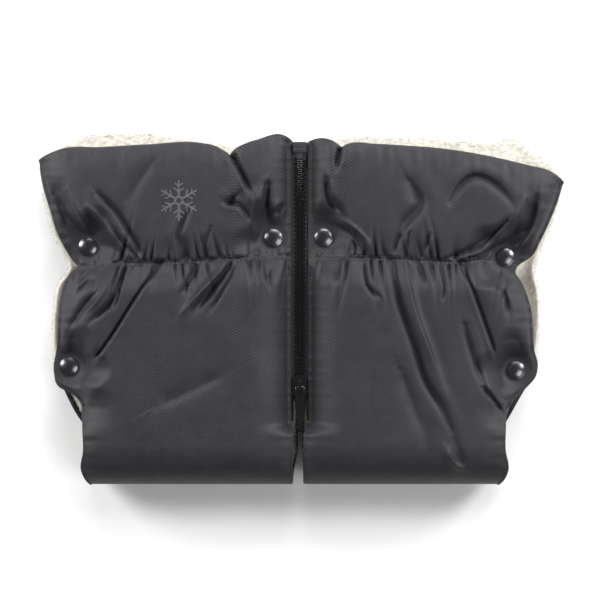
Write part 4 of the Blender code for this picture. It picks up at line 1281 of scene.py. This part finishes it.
ZIP_MIDDLE = middle("zip_teeth_left").z
TOOTH_PITCH = 3.6 * MM
BOX_LONG = 9.0 * MM
NECK = 3.4 * MM  # from the retainer box down to the first tooth


def beside(side, near, far):
    """A stretch beside the centre line as its two x values, the lower first."""
    return sorted((side * near, side * far))


def soften(node_name, finish, width, segments=3):
    """Rounds a CAD piece's edges and gives it its finish."""
    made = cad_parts[node_name]
    rounding = made.modifiers.new("rounding", "BEVEL")
    rounding.width = width
    rounding.segments = segments
    rounding.limit_method = "ANGLE"
    rounding.angle_limit = math.radians(30)
    made.data.materials.clear()
    made.data.materials.append(finish)


def rounded_block(shape, low, high, radius, segments=2):
    """A box between two corners with every edge rounded."""
    size = Vector(high) - Vector(low)
    made = bmesh.ops.create_cube(shape, size=1.0)["verts"]
    bmesh.ops.scale(shape, vec=size, verts=made)
    bmesh.ops.translate(shape, vec=(Vector(low) + Vector(high)) / 2, verts=made)
    edges = list({edge for vert in made for edge in vert.link_edges})
    bmesh.ops.bevel(shape, geom=edges, offset=radius, segments=segments, affect="EDGES")


def tooth_mesh(side):
    """One moulded tooth: a broad root gripping the tape, a narrow neck and a round head that
    reaches past the centre line, with a dimple where its neighbour's nib sits."""
    outline = [(4.7, 1.35), (3.2, 1.42), (2.4, 1.05), (1.5, 0.62), (0.7, 0.58), (0.0, 0.82),
               (-0.8, 1.05), (-1.5, 0.95), (-2.0, 0.55), (-2.15, 0.0)]
    outline += [(x, -y) for x, y in outline[-2::-1]]
    shape = bmesh.new()
    corners = [shape.verts.new((side * x * MM, y * MM, -1.35 * MM)) for x, y in outline]
    base = shape.faces.new(corners)
    grown = bmesh.ops.extrude_face_region(shape, geom=[base])["geom"]
    moved = [item for item in grown if isinstance(item, bmesh.types.BMVert)]
    bmesh.ops.translate(shape, vec=(0, 0, 2.7 * MM), verts=moved)
    rims = [edge for edge in shape.edges if abs(edge.verts[0].co.z - edge.verts[1].co.z) < 0.1 * MM]
    bmesh.ops.bevel(shape, geom=rims, offset=0.3 * MM, segments=2, affect="EDGES")
    return bmesh_object("tooth", shape, ACETAL)


def teeth_tree(tooth):
    """Sets teeth one pitch apart along a line."""
    tree, given, kept = tree_with("tooth_row", {"Count": "NodeSocketInt", "Pitch": "NodeSocketFloat",
                                                "Start": "NodeSocketVector"})
    step = add_node(tree, "ShaderNodeCombineXYZ", Y=given.outputs["Pitch"])
    line = add_node(tree, "GeometryNodeMeshLine", Count=given.outputs["Count"],
                    Start_Location=given.outputs["Start"], Offset=step.outputs[0])
    return finish_tree(tree, kept, copies_of(tree, tooth, line.outputs[0]), ACETAL)


def make_teeth(side_name):
    """The closed chain, from the slider up to the retainer box, and the cord it grips."""
    side = SIDES[side_name]
    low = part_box("zip_slider")[0].y + 5 * MM
    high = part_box("zip_retainer_box")[1].y - BOX_LONG - NECK
    first = low + (TOOTH_PITCH / 2 if side > 0 else 0)
    count = int((high - first) / TOOTH_PITCH) + 1
    tooth = tooth_mesh(side)
    blank = mesh_object(f"moulded_teeth_{side_name}", [(0, 0, 0)], [], ACETAL, smooth=False)
    made = grow(blank, teeth_tree(tooth), {"Count": count, "Pitch": TOOTH_PITCH,
                                           "Start": (0, first, ZIP_MIDDLE)})
    bpy.data.objects.remove(tooth)
    settle(made, "front", "zip_plastic", f"zip_teeth_{side_name}")
    near, far = beside(side, 2.5 * MM, 6.1 * MM)
    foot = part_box(f"zip_teeth_{side_name}")[0].y
    shape = bmesh.new()
    rounded_block(shape, (near, foot, ZIP_MIDDLE - 0.7 * MM),
                  (far, high + 4.6 * MM, ZIP_MIDDLE + 0.7 * MM), 0.4 * MM)
    settle(bmesh_object(f"tape_cord_{side_name}", shape, TAPE), "front", "zip_tape")


def make_retainer_box():
    """The box that takes the pin at the top: a ribbed block with a nose down to the teeth and
    two keys on its face."""
    low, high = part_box("zip_retainer_box")
    low.y = high.y - BOX_LONG
    wide = 6.0 * MM
    shape = bmesh.new()
    rounded_block(shape, (-wide, low.y, low.z), (wide, high.y, high.z), 0.8 * MM, 3)
    for share in (0.28, 0.62):
        y = mix(low.y, high.y, share)
        rounded_block(shape, (-wide - 0.25 * MM, y - 0.7 * MM, low.z + 0.3 * MM),
                      (wide + 0.25 * MM, y + 0.7 * MM, high.z + 0.35 * MM), 0.3 * MM)
    rounded_block(shape, (-2.0 * MM, low.y - NECK - 2.0 * MM, ZIP_MIDDLE - 1.3 * MM),
                  (2.6 * MM, low.y + 1.0 * MM, ZIP_MIDDLE + 1.3 * MM), 0.4 * MM)
    for side in (-1, 1):
        near, far = beside(side, 1.1 * MM, 1.5 * MM)
        rounded_block(shape, (near, low.y + 0.8 * MM, high.z - 0.4 * MM),
                      (far, high.y - 0.8 * MM, high.z + 0.25 * MM), 0.12 * MM, 1)
    # The box uses the lighter acetal copy, a painted reflection of the lamps on the black acetal.
    settle(bmesh_object("retainer_box", shape, SHEEN_PAINTED_ACETAL), "front", "zip_plastic",
           "zip_retainer_box")


def make_tape(side_name):
    """Woven tape from the slit to the collar's hem, hidden under the shell's edge."""
    low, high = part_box(f"zip_tape_{side_name}")
    near, far = beside(SIDES[side_name], 5.2 * MM, 13.0 * MM)
    shape = bmesh.new()
    rounded_block(shape, (near, low.y, low.z), (far, high.y + 7.5 * MM, high.z), 0.12 * MM, 1)
    settle(bmesh_object(f"woven_tape_{side_name}", shape, TAPE), "front", "zip_tape",
           f"zip_tape_{side_name}")


def make_pin():
    """The insertion pin, a rounded rod along the right tape's edge."""
    low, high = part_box("zip_insertion_pin")
    shape = bmesh.new()
    rounded_block(shape, (4.9 * MM, low.y, low.z + 0.3 * MM),
                  (5.9 * MM, high.y - 8.6 * MM, high.z + 0.1 * MM), 0.4 * MM)
    settle(bmesh_object("insertion_pin", shape, ACETAL), "front", "zip_plastic", "zip_insertion_pin")


def make_pull_tab():
    """A cast tab that tapers to its tip, with softened rims and a slot over the crown."""
    low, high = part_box("zip_pull_tab")
    top, tip = high.y / MM, low.y / MM
    rim = [(-2.9, top), (-3.9, top - 1.2), (-4.2, top - 8.0), (-4.1, top - 16.0),
           (-2.6, tip + 6.0), (-1.9, tip + 1.2), (-1.2, tip)]
    slot = [(-1.9, top - 1.6), (-2.1, top - 4.4), (-1.9, top - 7.4)]
    outline, hole = (half + [(-x, y) for x, y in reversed(half)] for half in (rim, slot))
    middle_y = sum(y for _, y in outline) / len(outline)
    drawn_in = [(x * 0.92, middle_y + (y - middle_y) * 0.976) for x, y in outline]
    soft = 0.3 * MM
    shape = bmesh.new()
    levels = ((drawn_in, low.z), (outline, low.z + soft), (outline, high.z - soft),
              (drawn_in, high.z), (hole, high.z), (hole, low.z))
    rings = [[shape.verts.new((x * MM, y * MM, z)) for x, y in points] for points, z in levels]
    outer, inner = rings[:4], rings[4:]
    join_rings(shape, outer)
    join_rings(shape, inner)
    for loops in ((outer[-1], inner[0]), (outer[0], inner[1])):
        edges = [shape.edges.get((loop[step], loop[(step + 1) % len(loop)]))
                 for loop in loops for step in range(len(loop))]
        bmesh.ops.triangle_fill(shape, use_beauty=True, edges=edges)
    settle(bmesh_object("pull_tab", shape, ENAMEL), "pull_tab", "zip_slider_paint", "zip_pull_tab")


for side_name in SIDES:
    soften(f"zip_stop_{side_name}", ACETAL, 0.3 * MM)
    make_tape(side_name)
    make_teeth(side_name)
make_retainer_box()
make_pin()
soften("zip_slider", ENAMEL, 0.3 * MM)
make_pull_tab()
